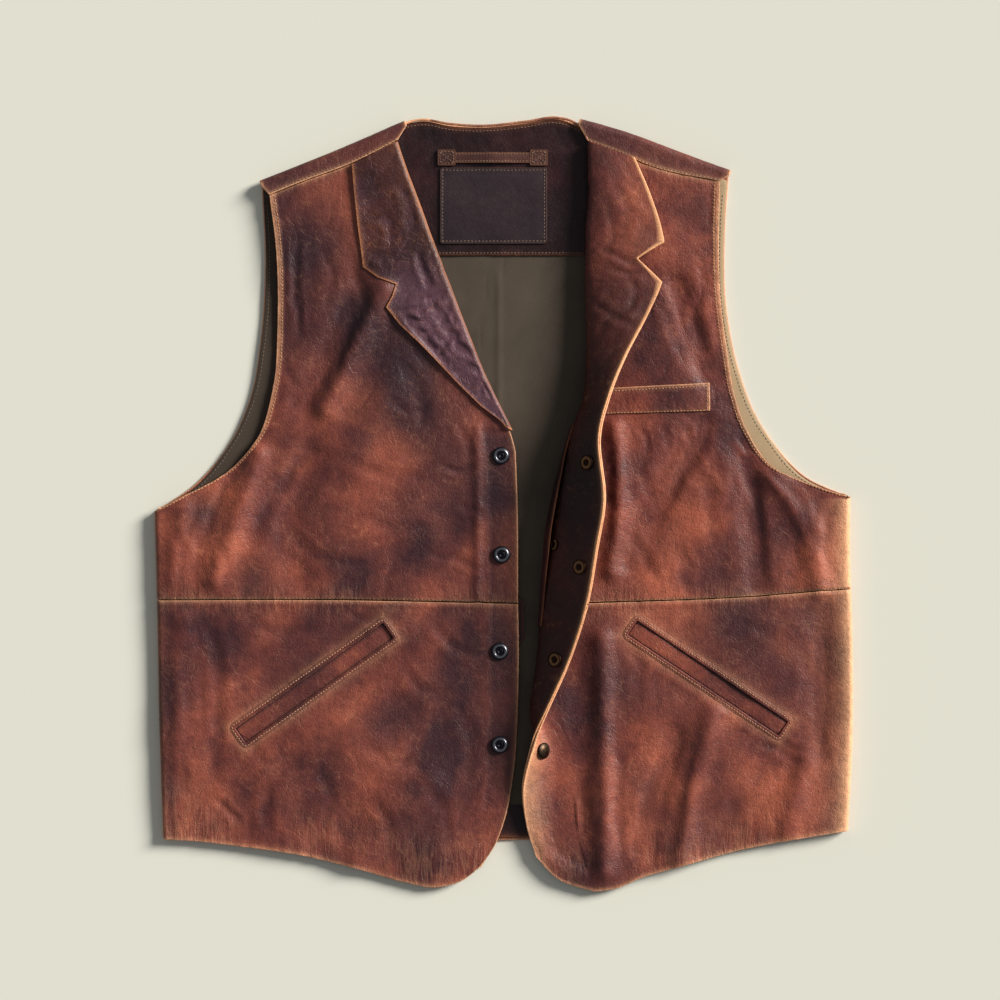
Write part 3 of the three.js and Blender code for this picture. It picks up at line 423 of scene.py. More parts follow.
class Sheet:
    """A grid of points of a leather or cloth sheet, rows down and columns across.

    It holds the direction out of it at each point, and each point's distance from its four edges.
    """

    def __init__(self, points):
        self.points = points
        down = np.gradient(points, axis=0)
        across = np.gradient(points, axis=1)
        self.normal = unit(np.cross(down, across))
        rows, columns = arc(points, 0), arc(points, 1)
        self.from_top, self.from_bottom = rows, rows[-1:] - rows
        self.from_left, self.from_right = columns, columns[:, -1:] - columns
        self.marks = {}
        self.plan = None

    def places(self):
        """The x and the y of its points."""
        return self.points[..., 0], self.points[..., 1]

    def from_rim(self):
        """Each point's distance from the nearest edge."""
        return np.minimum.reduce([self.from_top, self.from_bottom, self.from_left, self.from_right])

    def moved(self, distance):
        """The sheet with its points moved out along its own directions."""
        other = Sheet(self.points + self.normal * np.asarray(distance)[..., None])
        other.marks = dict(self.marks)
        other.plan = self.plan
        return other

    def at(self, row, column):
        """Points and directions at fractional row and column numbers, by straight blending."""
        i = np.clip(np.floor(row).astype(int), 0, self.points.shape[0] - 2)
        j = np.clip(np.floor(column).astype(int), 0, self.points.shape[1] - 2)
        u, v = (row - i)[..., None], (column - j)[..., None]
        return [(a[i, j] * (1 - u) + a[i + 1, j] * u) * (1 - v)
                + (a[i, j + 1] * (1 - u) + a[i + 1, j + 1] * u) * v for a in (self.points, self.normal)]

    def along_edge(self, edge, distance, start=0.0, end=1.0):
        """A line at an even distance from an edge, from one share of the edge to another."""
        field = getattr(self, "from_" + edge)
        rows, columns = field.shape
        upright = edge in ("left", "right")
        count = rows if upright else columns
        places = np.linspace(start * (count - 1), end * (count - 1), max(int(count * (end - start)), 2))
        lines = field if upright else field.T
        crossing = []
        for line in lines:
            way = 1 if line[0] < line[-1] else -1
            crossing.append(np.interp(distance, line[::way], np.arange(len(line))[::way]))
        other = np.interp(places, np.arange(count), crossing)
        return self.at(places, other) if upright else self.at(other, places)

    def above(self, x, y):
        """Points and directions right above places, by the outline that the sheet was made from."""
        outline, across_steps, down_steps, first = self.plan
        across, down = locate(outline, x, y, 0.5, np.mean(down_steps), down_steps[-1])
        return self.at(np.interp(down, down_steps, np.arange(len(down_steps))),
                       first + np.interp(across, across_steps, np.arange(len(across_steps))))


RIM_STEPS = 4
BLOT_STRENGTH = 0.85
BLOT_SPREAD = 1.25


def wall(sheet, thickness, square=()):
    """A closed wall: the sheet, the same sheet moved in by the thickness, and round rims between them.

    The rim of an edge that is named in square stays flat.
    """
    p, n = sheet.points, sheet.normal
    rows, columns = p.shape[:2]
    out = np.zeros_like(p)
    room = np.full((rows, columns), 1e9)
    edges = {"top": (np.s_[0, :], np.s_[1, :]), "bottom": (np.s_[-1, :], np.s_[-2, :]),
             "left": (np.s_[:, 0], np.s_[:, 1]), "right": (np.s_[:, -1], np.s_[:, -2])}
    for name, (here, there) in edges.items():
        step = p[here] - p[there]
        size = np.linalg.norm(step, axis=-1)
        out[here] += step / size[:, None]
        room[here] = np.minimum(room[here], 0 if name in square else 0.6 * size)
    length = np.linalg.norm(out, axis=-1, keepdims=True)
    out = out / np.maximum(length, 1e-9)
    inset = np.where(length[..., 0] > 0, np.minimum(thickness / 2, room), 0)[..., None]
    face = p - out * inset
    numbers = np.arange(rows * columns).reshape(rows, columns)
    ring = np.concatenate([numbers[0, :-1], numbers[:-1, -1], numbers[-1, :0:-1], numbers[:0:-1, 0]])
    flat = face.reshape(-1, 3)
    ways = n.reshape(-1, 3)[ring]
    outs = (out * inset).reshape(-1, 3)[ring]
    rims = [flat[ring] + outs * math.sin(math.pi * k / RIM_STEPS)
            - ways * thickness / 2 * (1 - math.cos(math.pi * k / RIM_STEPS)) for k in range(1, RIM_STEPS)]
    points = np.concatenate([flat, *rims, flat - n.reshape(-1, 3) * thickness])
    loops = [ring, *[rows * columns + k * len(ring) + np.arange(len(ring)) for k in range(RIM_STEPS - 1)]]
    under = rows * columns + (RIM_STEPS - 1) * len(ring)
    loops.append(ring + under)
    a, b, c, d = numbers[:-1, :-1], numbers[1:, :-1], numbers[1:, 1:], numbers[:-1, 1:]
    quads = [np.stack([a, b, c, d], -1).reshape(-1, 4), np.stack([d, c, b, a], -1).reshape(-1, 4) + under]
    for first, second in zip(loops, loops[1:]):
        quads.append(np.stack([first, np.roll(first, -1), np.roll(second, -1), second], -1))
    marks = {name: np.concatenate([v.ravel(), *[v.ravel()[ring]] * (RIM_STEPS - 1), v.ravel()])
             for name, v in sheet.marks.items()}
    return points, np.concatenate(quads), marks


def make(name, meshes, material, node_names=()):
    """One piece from closed meshes in drawing millimetres, placed in the vest's frame in metres."""
    counts = np.cumsum([0] + [len(mesh[0]) for mesh in meshes])
    points = np.concatenate([mesh[0] for mesh in meshes]) - (*MIDDLE, 0)
    faces = np.concatenate([mesh[1] + count for mesh, count in zip(meshes, counts)])
    data = bpy.data.meshes.new(name)
    data.vertices.add(len(points))
    data.vertices.foreach_set("co", (points * 0.001).astype(np.float32).ravel())
    data.loops.add(faces.size)
    data.loops.foreach_set("vertex_index", faces.astype(np.int32).ravel())
    data.polygons.add(len(faces))
    data.polygons.foreach_set("loop_start", np.arange(0, faces.size, faces.shape[1], dtype=np.int32))
    data.polygons.foreach_set("use_smooth", np.ones(len(faces), dtype=bool))
    for key in meshes[0][2]:
        values = np.concatenate([mesh[2][key] for mesh in meshes])
        data.attributes.new(key, "FLOAT", "POINT").data.foreach_set("value", values.astype(np.float32))
    data.update()
    data.validate()
    data.materials.append(material)
    piece = bpy.data.objects.new(name, data)
    scene.collection.objects.link(piece)
    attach(piece, "root")
    if node_names:
        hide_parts(*node_names)
    return piece


def mark(sheet, relief, worn=0.0, stain_shade_sheen_spots=(), soaked_and_shaded=0.0):
    """Marks for the colour: the relief, for painted shade in its troughs and a painted highlight on its
    ridges; edge wear together with painted light; and dark stains together with painted shade and sheen.
    """
    x, y = sheet.places()
    stain = soaked_and_shaded + sum(BLOT_STRENGTH * row[3] * bell(np.hypot(x - row[0], y - row[1]), BLOT_SPREAD * row[2])
                         for row in stain_shade_sheen_spots)
    sheet.marks = {"hollow": -relief, "worn": worn + 0 * x, "stain": stain + 0 * x}


def attribute(tree, key):
    """A mark that the mesh carries on its points."""
    return node(tree, "ShaderNodeAttribute", {"attribute_name": key}, {}, 2)


def bump(tree, strength, distance, height):
    """The normal tilted by a height, whose whole step is a distance in metres."""
    return node(tree, "ShaderNodeBump", {}, {"Strength": strength, "Distance": distance, "Height": height})


def three_tones(tree, tone, ends, colours):
    """Three colours run into each other over a range of a tone, the second at its middle."""
    stops = [(place, paint(*colour)) for place, colour in zip((ends[0], 0.5, ends[1]), colours)]
    return node(tree, "ShaderNodeValToRGB", {"stops": stops}, {0: tone})


def leather(name, dark, middle, warm, worn, stain, gloss=0.5, grain=1.0, lapel=None, crackle=1.0):
    """Waxed pull-up leather: three tones in clouds, dark where stained, pale where rubbed.

    The grain is small cells, and creases have left nets of thin pale lines in patches. The wax lies
    uneven, so the gloss does too. The facing has three tones of its own where it is the lapel. Painted
    shade darkens the troughs of the relief, a painted highlight warms its ridges, and the marks lay
    painted light and shade on parts of the pieces.
    """
    material, tree, place, connect = new_material(name, Specular_IOR_Level=0.3, Coat_Weight=0.03,
                                                  Coat_Roughness=0.3)

    def winding(size, width, detail):
        """Thin winding lines: where noise with patches of a size in millimetres passes its middle."""
        return (1 - cloud(tree, place, size, detail, 0.45, 0.35).apart(0.5) * width).limit() ** 2.0
    broad = cloud(tree, place, 95, 3.0)
    middling = cloud(tree, place, 26, 5.0, 0.6)
    small = cloud(tree, place, 5, 5.0, 0.62)
    cells = node(tree, "ShaderNodeTexVoronoi", {"feature": "DISTANCE_TO_EDGE"},
                 {"Vector": place, "Scale": 620.0})
    long_lines = winding(26, 46, 2.0) * ((middling - 0.42) * 6).limit()
    short_lines = winding(8, 20, 1.5) * ((cloud(tree, place, 34, 3.0) - 0.44) * 6).limit()
    pebble = winding(3.6, 6, 1.0)
    drawn = node(tree, "ShaderNodeVectorMath", {"operation": "MULTIPLY"}, {0: place, 1: (1.0, 0.13, 1.0)})
    gathers = node(tree, "ShaderNodeTexNoise", {}, {"Vector": drawn, "Scale": 230.0, "Detail": 3.0,
                                                    "Distortion": 0.4})
    gathers = (1 - gathers.apart(0.5) * 10).limit() * attribute(tree, "gather")
    tone = broad * 0.72 + middling * 0.28
    colour = three_tones(tree, tone, (0.38, 0.62), (dark, middle, warm))
    if lapel:
        colour = blend(attribute(tree, "lapel"), colour, three_tones(tree, tone, (0.36, 0.64), lapel))
    scuffs = ((middling - 0.56) * 4.0).limit() * ((small - 0.5) * 5.0).limit()
    # The edge mark is rubbed wear, and in places painted light where a side or an edge faces the light.
    edge = (attribute(tree, "worn") * (0.6 + middling * 0.8) + scuffs * 0.25).limit()
    # This darkening is stains, with painted shade in places, and on the lapel a pale painted sheen.
    soak_shade_sheen = (attribute(tree, "stain") * (0.3 + broad * 0.8 + middling * 0.9) - 0.06).limit() * 0.84
    # Painted shade for the troughs of the relief, and a painted highlight for its ridges.
    hollow = (attribute(tree, "hollow") * 0.42).limit()
    ridge = (attribute(tree, "hollow") * -0.4).limit()
    colour = blend(ridge * 0.45, colour, paint(*warm))
    colour = blend(soak_shade_sheen, colour, paint(*stain))
    pale_lines = long_lines * 0.06 * crackle + short_lines * 0.05 * crackle + gathers * 0.11
    colour = blend(pale_lines.limit(), colour, paint(*worn))
    colour = blend(edge, colour, paint(*worn))
    # Painted shade in the troughs of the relief.
    colour = blend(hollow * 0.7, colour, paint(*stain))
    speck = (0.5 - small) * 1.7 + (0.12 - cells) * 1.2 + pebble * 0.2
    colour = blend((speck + 0.1).limit() * 0.5, colour, paint(*stain))
    connect("Base Color", colour)
    connect("Roughness", (gloss + (middling - 0.5) * 0.35 + (small - 0.5) * 0.3).limit())
    height = (cells * 0.8 + small * 0.8 - pebble * 0.3 - long_lines * 0.45 * crackle
              - short_lines * 0.4 * crackle + gathers * 0.5)
    connect("Normal", bump(tree, 0.55 * grain, 0.0007, height))
    return material


front_leather = leather("worn_leather", (66, 31, 33), (116, 57, 47), (164, 86, 63), (240, 178, 134),
                        (38, 24, 34), 0.5)
# Its near-black tones are partly the inner leather's own dark colour and partly painted shade, for the neck
# facing under the right front's roll.
inner_leather = leather("inner_leather", (24, 5, 9), (37, 9, 14), (58, 21, 24), (160, 96, 58),
                        (16, 9, 13), 0.5, 0.7, None, 0.25)

back_outward = np.array(SHOULDER_OUT) * SHOULDER_FOLD_RADIUS
back_left = curve([(x + back_outward[0], y - back_outward[1]) for x, y in SHOULDER_FOLD_LEFT])
back_right = curve([(x - back_outward[0], y - back_outward[1]) for x, y in SHOULDER_FOLD_RIGHT])
back_neck = curve(NECK_EDGE)


def back_top(across):
    """The back's top line: the left shoulder, the neck, drawn to meet both shoulders, and the right."""
    across = np.asarray(across, float)
    s = np.clip((across - NECK_FROM) / (NECK_TO - NECK_FROM), 0, 1)[..., None]
    neck = (back_neck(s[..., 0]) + (1 - s) * (back_left(1.0) - back_neck(0.0))
            + s * (back_right(0.0) - back_neck(1.0)))
    left = back_left(np.clip(across / NECK_FROM, 0, 1))
    right = back_right(np.clip((across - NECK_TO) / (1 - NECK_TO), 0, 1))
    across = across[..., None]
    return np.where(across <= NECK_FROM, left, np.where(across >= NECK_TO, right, neck))


back_underarm = curve([[-286, -6], [284, 6]])
back_outline = stack([
    patch(curve(BACK_HEM), back_underarm, side_edge(side_left, -274, -6), side_edge(side_right, -267, 6)),
    patch(back_underarm, back_top, curve([*BACK_ARMHOLE_LEFT[:0:-1], back_left(0.0)]),
          curve([*BACK_ARMHOLE_RIGHT[:0:-1], back_right(1.0)])),
])
# Columns: three points of the crease's line, its half width and its depth.
BACK_CREASES = [
    [-230, -120, -150, -98, -60, -110, 5, 0.5], [40, -60, 120, -40, 215, -66, 6, 0.5],
    [-120, 60, -100, -40, -130, -150, 6, 0.45], [150, 120, 120, 40, 140, -60, 5, 0.4],
    [-40, 240, -20, 150, -34, 60, 5, 0.4], [200, -120, 230, -180, 214, -240, 5, 0.45],
    [-250, -40, -215, -20, -180, -34, 4, 0.5], [-10, -200, 70, -222, 160, -205, 6, 0.4],
]
columns, rows = np.meshgrid(crowded(0, 1, 130, 0.02, 7), crowded(0, 2, 140, 0.01, 4))
xy = back_outline(columns, rows)
x, y = xy[..., 0], xy[..., 1]
back_base = Sheet(np.dstack([x, y, side_turn(x, y)]))
flatness = np.clip((np.minimum(x - side_left(y), side_right(y) - x) - 4) / 10, 0, 1)
pressed = -np.clip(creases(BACK_CREASES, x, y) - 0.12 * wrinkles(x, y, 30, 71), -0.6, 0) * flatness
back_sheet = back_base.moved(-pressed)
mark(back_sheet, -pressed, 0.7 * fade(back_sheet.from_rim(), 1.5))


def shoulder_strip(line, seam, sign):
    """The strip round the shoulder fold, a half circle, then flat on to the seam."""
    share, round_ = np.meshgrid(crowded(0, 1, 70, 0.04, 4),
                                np.concatenate([np.linspace(0, 1, 11), np.linspace(1.12, 1.985, 9)]))
    start = line(share)
    angle = math.pi * (np.minimum(round_, 1) - 0.5)
    out = SHOULDER_FOLD_RADIUS * np.cos(angle) * (round_ <= 1)
    s = np.clip(round_ - 1, 0, 1)[..., None]
    way = np.array([sign * SHOULDER_OUT[0], SHOULDER_OUT[1]])
    xy = start + way * out[..., None] + s * (curve(seam)(share) - start)
    z = SHOULDER_FOLD_RADIUS * (1 + np.sin(angle))
    base = Sheet(np.dstack([xy, z]))
    lift = skin(*base.places(), (0.35, 22, 81), (0.3, 14, 82, 60, 2))
    lift = lift * np.clip(round_, 0, 1) * np.clip(base.from_bottom / 6, 0.3, 1)
    made = base.moved(lift)
    edge = np.minimum(made.from_left, made.from_right)
    mark(made, lift, 0.9 * fade(made.from_bottom, 1.3) + 0.7 * fade(edge, 1.3), (), 0.62)
    return made


strip_left = shoulder_strip(back_left, SHOULDER_SEAM_LEFT, -1)
strip_right = shoulder_strip(back_right, SHOULDER_SEAM_RIGHT, 1)
make("back_panel", [wall(back_sheet, BACK_LEATHER, ("top",)), wall(strip_left, BACK_LEATHER, ("top",)),
                    wall(strip_right, BACK_LEATHER, ("top",))], front_leather, ["back"])

# The lining is thin khaki cotton twill, sewn in along the hem, the armholes and the neck facing.
# A soft pleat runs down its middle, below the facing.
LINING_TOP = 2.9
COTTON = 1.0
LINING_SIDE_INSET = 6
LINING_ARMHOLE_INSET = 1
LINING_END_INSET = 4
PLEAT_X = -4
PLEAT_WIDTH = 3
PLEAT_RISE = 0.5
PLEAT_TOP = 190
KHAKI = (92, 81, 70)
KHAKI_DARK = (64, 55, 46)
# Painted light for the lining at the right armhole, where the light falls on it, and painted shade for it at
# the left armhole.
KHAKI_PAINTED_LIGHT = (196, 170, 134)
KHAKI_PAINTED_SHADE = (58, 46, 38)
RIB_SHADE = (66, 57, 46)


def cotton_twill(name):
    """Khaki twill: slanting ribs of half a millimetre across faint yarns, in slightly uneven dye."""
    material, tree, place, connect = new_material(name, Roughness=0.85, Specular_IOR_Level=0.2,
                                                  Sheen_Weight=0.15)
    ribs = node(tree, "ShaderNodeTexWave", {"bands_direction": "DIAGONAL"},
                {"Vector": place, "Scale": 520.0, "Distortion": 1.5, "Detail": 1.0, "Detail Scale": 3.0})
    dye = cloud(tree, place, 60, 4.0)
    fuzz = cloud(tree, place, 1.2, 2.0)
    colour = blend((dye * 1.6 - 0.3).limit(), paint(*KHAKI_DARK), paint(*KHAKI))
    colour = blend((ribs * 0.3 + fuzz * 0.25).limit(), colour, paint(*RIB_SHADE))
    # The marks paint the lining lighter where light falls on it and darker where it lies in shade.
    colour = blend(attribute(tree, "worn"), colour, paint(*KHAKI_PAINTED_LIGHT))
    colour = blend(attribute(tree, "stain"), colour, paint(*KHAKI_PAINTED_SHADE))
    connect("Base Color", colour)
    connect("Normal", bump(tree, 0.35, 0.0003, ribs + fuzz * 0.6))
    return material


khaki_twill = cotton_twill("khaki_twill")
columns, rows = np.meshgrid(np.unique(np.concatenate([np.linspace(0, 1, 120), np.linspace(0.46, 0.53, 40)])),
                            np.linspace(2 - LINING_END_INSET / 300, LINING_END_INSET / 270, 140))
inset = np.interp(rows, [0, 1, 1.25, 2], [LINING_SIDE_INSET, LINING_SIDE_INSET, LINING_ARMHOLE_INSET,
                                          LINING_ARMHOLE_INSET])
width = back_outline(1.0 + 0 * rows, rows)[..., 0] - back_outline(0 * rows, rows)[..., 0]
xy = back_outline(inset / width + columns * (1 - 2 * inset / width), rows)
x, y = xy[..., 0], xy[..., 1]
pleat = PLEAT_RISE * bell(x - PLEAT_X, PLEAT_WIDTH) * (y < PLEAT_TOP)
soft = skin(x, y, (0.22, 34, 91), (0.22, 26, 92, 75, 2.5))
lining = Sheet(np.dstack([x, y, LINING_TOP + pleat + np.clip(soft, -0.3, 0.35)]))
# Painted light on the lining by the right armhole, and painted shade by the left one.
armhole_light_and_shade = (y > -6) * (np.abs(x) > 100)
mark(lining, soft, 0.75 * armhole_light_and_shade * bell(lining.from_right, 60) * (x > 0), (),
     0.6 * armhole_light_and_shade * bell(lining.from_left, 60) * (x < 0))
make("lining", [wall(lining, COTTON * 0.6)], khaki_twill, ["back_lining"])

# The wearer's right front lies flat at the left of the picture: two panels of 2 mm leather that meet
# at the waist seam. Its edges are turned under and topstitched, and old wear has creased it all over.
FRONT_LEATHER = 2.0
LEAST_HEIGHT = 5.6
TURNED_WIDTH = 4.6
FRONT_ARMHOLE_LEFT = [[-191.5, 253], [-186, 208], [-185, 150], [-189, 94], [-201, 55], [-226, 27],
                      [-265, 5], [-286, -6]]
ROLL_RIM_LEFT = [[-89, 296.8], [-70, 243], [-44.5, 177], [-18.5, 110], [-5, 81], [5, 61], [10, 44]]
UNDERARM_LINE_LEFT = [[-286, -6], [-140, 22], [10, 44]]
PLACKET_UPPER_LEFT = [[10, 44], [11.5, 3], [12, -81]]
WAIST_SEAM_LEFT = [[-284, -78], [-135, -78], [12, -81]]
PLACKET_LOWER_LEFT = [[12, -81], [12.5, -119], [12, -160], [8.5, -218], [1, -258], [-8, -281], [-19, -296]]
HEM_LEFT = [[-279, -274], [-249, -276], [-216, -280], [-167, -287], [-118, -299], [-81, -309.5],
            [-56, -313.5], [-34, -308], [-19, -296]]
# Columns: level down the front, then the height at five places from the side to the front edge.
FRONT_HEIGHTS_LEFT = [
    [0, 10, 10, 10, 10, 10], [0.33, 6.5, 8.5, 9, 9.1, 9], [0.66, 6, 8, 8.5, 8.8, 8.6],
    [1, 8.5, 8.4, 8.6, 8.5, 8.1], [1.5, 8.5, 8.5, 8.6, 8, 7.2], [2, 8.5, 8.3, 8.2, 7.6, 6.8],
    [2.5, 8.5, 8, 8, 7.2, 6], [3, 8.5, 7, 6.6, 6.2, 5.8],
]
# Columns: three points of the fold's line, its half width and its rise.
FOLDS_LEFT = [
    [-119, 180, -141, 130, -162, 84, 10, -3], [-70, 150, -96, 90, -120, 40, 16, 2],
    [-98, 174, -121, 127, -146, 79, 10, 4.7], [-201, 40, -218, -12, -236, -62, 9, 4.9],
    [-262, -4, -266, -32, -270, -60, 8, 2.3], [-21, 62, -21, 0, -21, -76, 4, 1.7],
    [-262, -95, -263, -150, -262, -210, 10, 1.9], [-160, 40, -175, -10, -170, -60, 13, -2.6],
    [-60, -230, -100, -262, -120, -294, 14, 2.7],
]
# Columns: three points of the crease's line, its half width and its depth.
CREASES_LEFT_UPPER = [
    [-169, 222, -170, 180, -168, 136, 3.2, 0.8], [-108, 178, -128, 135, -152, 84, 4.5, 1.1],
    [-150, 60, -190, 6, -212, -40, 5, 0.9], [-214, 48, -236, -4, -256, -56, 4.5, 0.9],
    [-52, 31, -38, 28, -20, 30, 3, 0.7], [-40, 0, -26, -4, -14, -10, 3, 0.6],
    [-150, 215, -140, 190, -146, 160, 3.5, 0.45], [-128, 212, -118, 180, -104, 150, 4, 0.5],
    [-88, 120, -70, 96, -64, 60, 5, 0.6], [-130, 40, -100, 22, -60, 24, 4.5, 0.5],
    [-120, -8, -90, -20, -50, -18, 4, 0.45], [-180, -20, -150, -44, -110, -50, 4.5, 0.5],
    [-272, -14, -262, -40, -266, -70, 3.5, 0.6], [-232, -30, -226, -50, -230, -74, 3.5, 0.5],
    [-96, 88, -80, 76, -60, 78, 3, 0.5], [-40, 70, -30, 52, -28, 36, 3, 0.5],
    [-66, -40, -40, -44, -16, -54, 3, 0.5], [-182, 120, -170, 96, -176, 70, 3.5, 0.4],
]
CREASES_LEFT_LOWER = [
    [-240, -90, -232, -150, -238, -225, 5, 0.8], [-262, -110, -258, -170, -262, -240, 4, 0.6],
    [-238, -238, -226, -250, -214, -262, 3, 0.7], [-190, -226, -196, -252, -186, -276, 4, 0.6],
    [-120, -190, -96, -210, -64, -214, 5, 0.6], [-150, -216, -140, -240, -150, -268, 4, 0.5],
    [-108, -240, -92, -262, -96, -288, 4, 0.6], [-66, -226, -48, -250, -44, -286, 4.5, 0.5],
    [-60, -96, -40, -118, -16, -124, 4, 0.5], [-40, -160, -26, -190, -30, -230, 4.5, 0.5],
    [-84, -130, -70, -150, -44, -158, 4, 0.5], [-210, -92, -190, -106, -160, -100, 4, 0.5],
    [-130, -88, -110, -96, -84, -92, 3, 0.5], [-226, -190, -206, -196, -196, -214, 4, 0.5],
]
# Columns: the middle of the spot, its radius and its strength. Most spots are stains; those near the side
# at x -262 are painted shade, where the front turns down away from the light.
STAIN_AND_SHADE_SPOTS_LEFT = [
    [-148, 215, 40, 0.6], [-165, 120, 34, 0.5], [-112, 150, 30, 0.45], [-60, 70, 38, 0.5], [-30, 10, 26, 0.3],
    [-170, 205, 26, 0.55], [-178, 150, 22, 0.5], [-122, 155, 16, 0.6], [-77, 118, 24, 0.9],
    [-77, 77, 20, 0.7], [-175, 49, 18, 0.5], [-46, 36, 20, 0.45], [-245, -9, 16, 0.9],
    [-204, -62, 17, 0.8], [-70, 0, 24, 0.3],
    [-262, -150, 20, 0.55], [-97, -185, 22, 0.45], [-44, -150, 24, 0.5], [-60, -274, 24, 0.6],
    [-130, -140, 9, 0.4], [-12, -104, 16, 0.4], [-205, -104, 16, 0.35], [-262, -230, 18, 0.5],
    [-12, 10, 14, 0.3], [-100, 190, 14, 0.5], [-30, -200, 20, 0.4],
]


def heights(table):
    """Height from rows of five numbers: a spline down the rows, then a spline across the five."""
    table = np.asarray(table, float)
    down_rows = spline(table[:, 0], table[:, 1:])

    def at(across, down):
        h = down_rows(down)
        slopes = np.concatenate([h[..., 1:2] - h[..., :1], (h[..., 2:] - h[..., :-2]) / 2,
                                 h[..., -1:] - h[..., -2:-1]], axis=-1)
        i = np.clip(np.floor(across * 4), 0, 3).astype(int)[..., None]
        picked = [np.take_along_axis(values, i + k, -1) for values in (h, slopes) for k in (0, 1)]
        return cubic((across * 4)[..., None] - i, *picked)[..., 0]
    return at


front_left_outline = stack([
    patch(curve([*SHOULDER_SEAM_LEFT[:-1], ROLL_RIM_LEFT[0]]), curve(UNDERARM_LINE_LEFT),
          curve(FRONT_ARMHOLE_LEFT), curve(ROLL_RIM_LEFT)),
    patch(curve(UNDERARM_LINE_LEFT), curve(WAIST_SEAM_LEFT), side_edge(side_left, -6, -78),
          curve(PLACKET_UPPER_LEFT)),
    patch(curve(WAIST_SEAM_LEFT), curve(HEM_LEFT), side_edge(side_left, -78, -274),
          curve(PLACKET_LOWER_LEFT)),
])
height_left = heights(FRONT_HEIGHTS_LEFT)


def held_up(z):
    """Heights kept above the lining: they level off smoothly as they near the least height."""
    return LEAST_HEIGHT + 0.5 * np.log1p(np.exp((z - LEAST_HEIGHT) / 0.5))


def front_surface(outline, height, folds):
    """The outer surface of a front: its outline, its height, its large folds and its side turn."""
    def at(across, down):
        across, down = np.broadcast_arrays(across, down)
        xy = outline(across, down)
        x, y = xy[..., 0], xy[..., 1]
        return np.dstack([x, y, held_up(height(across, down) + fold_rise(folds, x, y)) - side_turn(x, y)])
    return at


front_left = front_surface(front_left_outline, height_left, FOLDS_LEFT)


def held_relief(base, relief, side):
    """Relief whose hollows stop above the lining, except round the side fold."""
    return np.maximum(relief, np.where(side > 8, LEAST_HEIGHT - 0.6 - base.points[..., 2], -9))


def step_down(distance, start, end):
    """1 up to the start, 0 past the end, and a smooth step between."""
    s = np.clip((distance - start) / (end - start), 0, 1)
    return 1 - s * s * (3 - 2 * s)


def turned_edge(distance, width=TURNED_WIDTH, rise=0.5):
    """The turned and topstitched edge: a raised band, and the groove that the stitches pull."""
    return rise * step_down(distance, width, width + 1.8) - 0.3 * bell(distance - width + 0.4, 0.9)


def puckers(along, distance, seed, reach=9.0, depth=0.35):
    """Small gathers across a seam that die out away from it."""
    wave = hills(along, 0 * along + seed, 6.5, seed) + 0.6 * hills(along, 0 * along, 3.4, seed + 1)
    return depth * wave * fade(distance, reach)


def sewn_seam(along, distance, seed, reach=7.0, depth=0.4, width=1.6):
    """The gathers across a seam, less the groove along it: a bell of a half width, 0.5 mm deep."""
    return puckers(along, distance, seed, reach, depth) - 0.5 * bell(distance, width)


def drawn_up(x, y, distance, seed):
    """Where a seam draws fine lines beside it: a step down over 20 mm, stronger in patches."""
    return 0.8 * step_down(distance, 3, 20) * np.clip(0.6 + hills(x, y, 40, seed), 0, 1)


def worn_skin(x, y, seed):
    """The leather's own middle relief: soft swells, long winding wrinkles and short ones in patches."""
    patches = np.clip(0.55 + 0.9 * hills(x, y, 70, seed + 3), 0, 1)
    other = np.clip(0.5 + 0.9 * hills(x, y, 48, seed + 4), 0, 1)
    return (1.5 * hills(x, y, 74, seed) + 0.4 * hills(x, y, 33, seed + 2) + 0.1 * hills(x, y, 15, seed + 1)
            - 0.4 * patches * wrinkles(x, y, 30, seed + 5, 62, 2.4)
            - 0.24 * other * wrinkles(x, y, 12, seed + 7, 110, 1.8)
            - 0.12 * wrinkles(x, y, 6.5, seed + 9, 30, 1.6))


WINDOW_LEFT = {"x": -154.8, "y": -146, "length": 148, "width": 14.8, "angle": 35.4}
WINDOW_RIGHT = {"x": 167, "y": -142, "length": 148, "width": 13.6, "angle": -33.8}
WINDOW_SINK = 2.3
WINDOW_RUN = (0.6, 3.0)
BAG_EDGE = 10


def slant(window):
    """The cosine and the sine of a window's angle."""
    return math.cos(math.radians(window["angle"])), math.sin(math.radians(window["angle"]))


def window_frame(x, y, window):
    """Distance out of a slanted window's edge, negative inside, and the two coordinates along it."""
    c, s = slant(window)
    along = (x - window["x"]) * c + (y - window["y"]) * s
    across = (y - window["y"]) * c - (x - window["x"]) * s
    over = np.maximum(np.abs(along) - window["length"] / 2, np.abs(across) - window["width"] / 2)
    return over, along, across


def pocket_relief(x, y, window):
    """A slight swell round the window, and the ridge of the bag's edge below it."""
    over, along, across = window_frame(x, y, window)
    ridge = 0.35 * bell(across + window["width"] / 2 + BAG_EDGE, 1.7) * step_down(np.abs(along), 60, 76)
    return ridge + (0.4 * bell(over, 7) + puckers(along, over, 33, 8, 0.25)) * (over > 0)


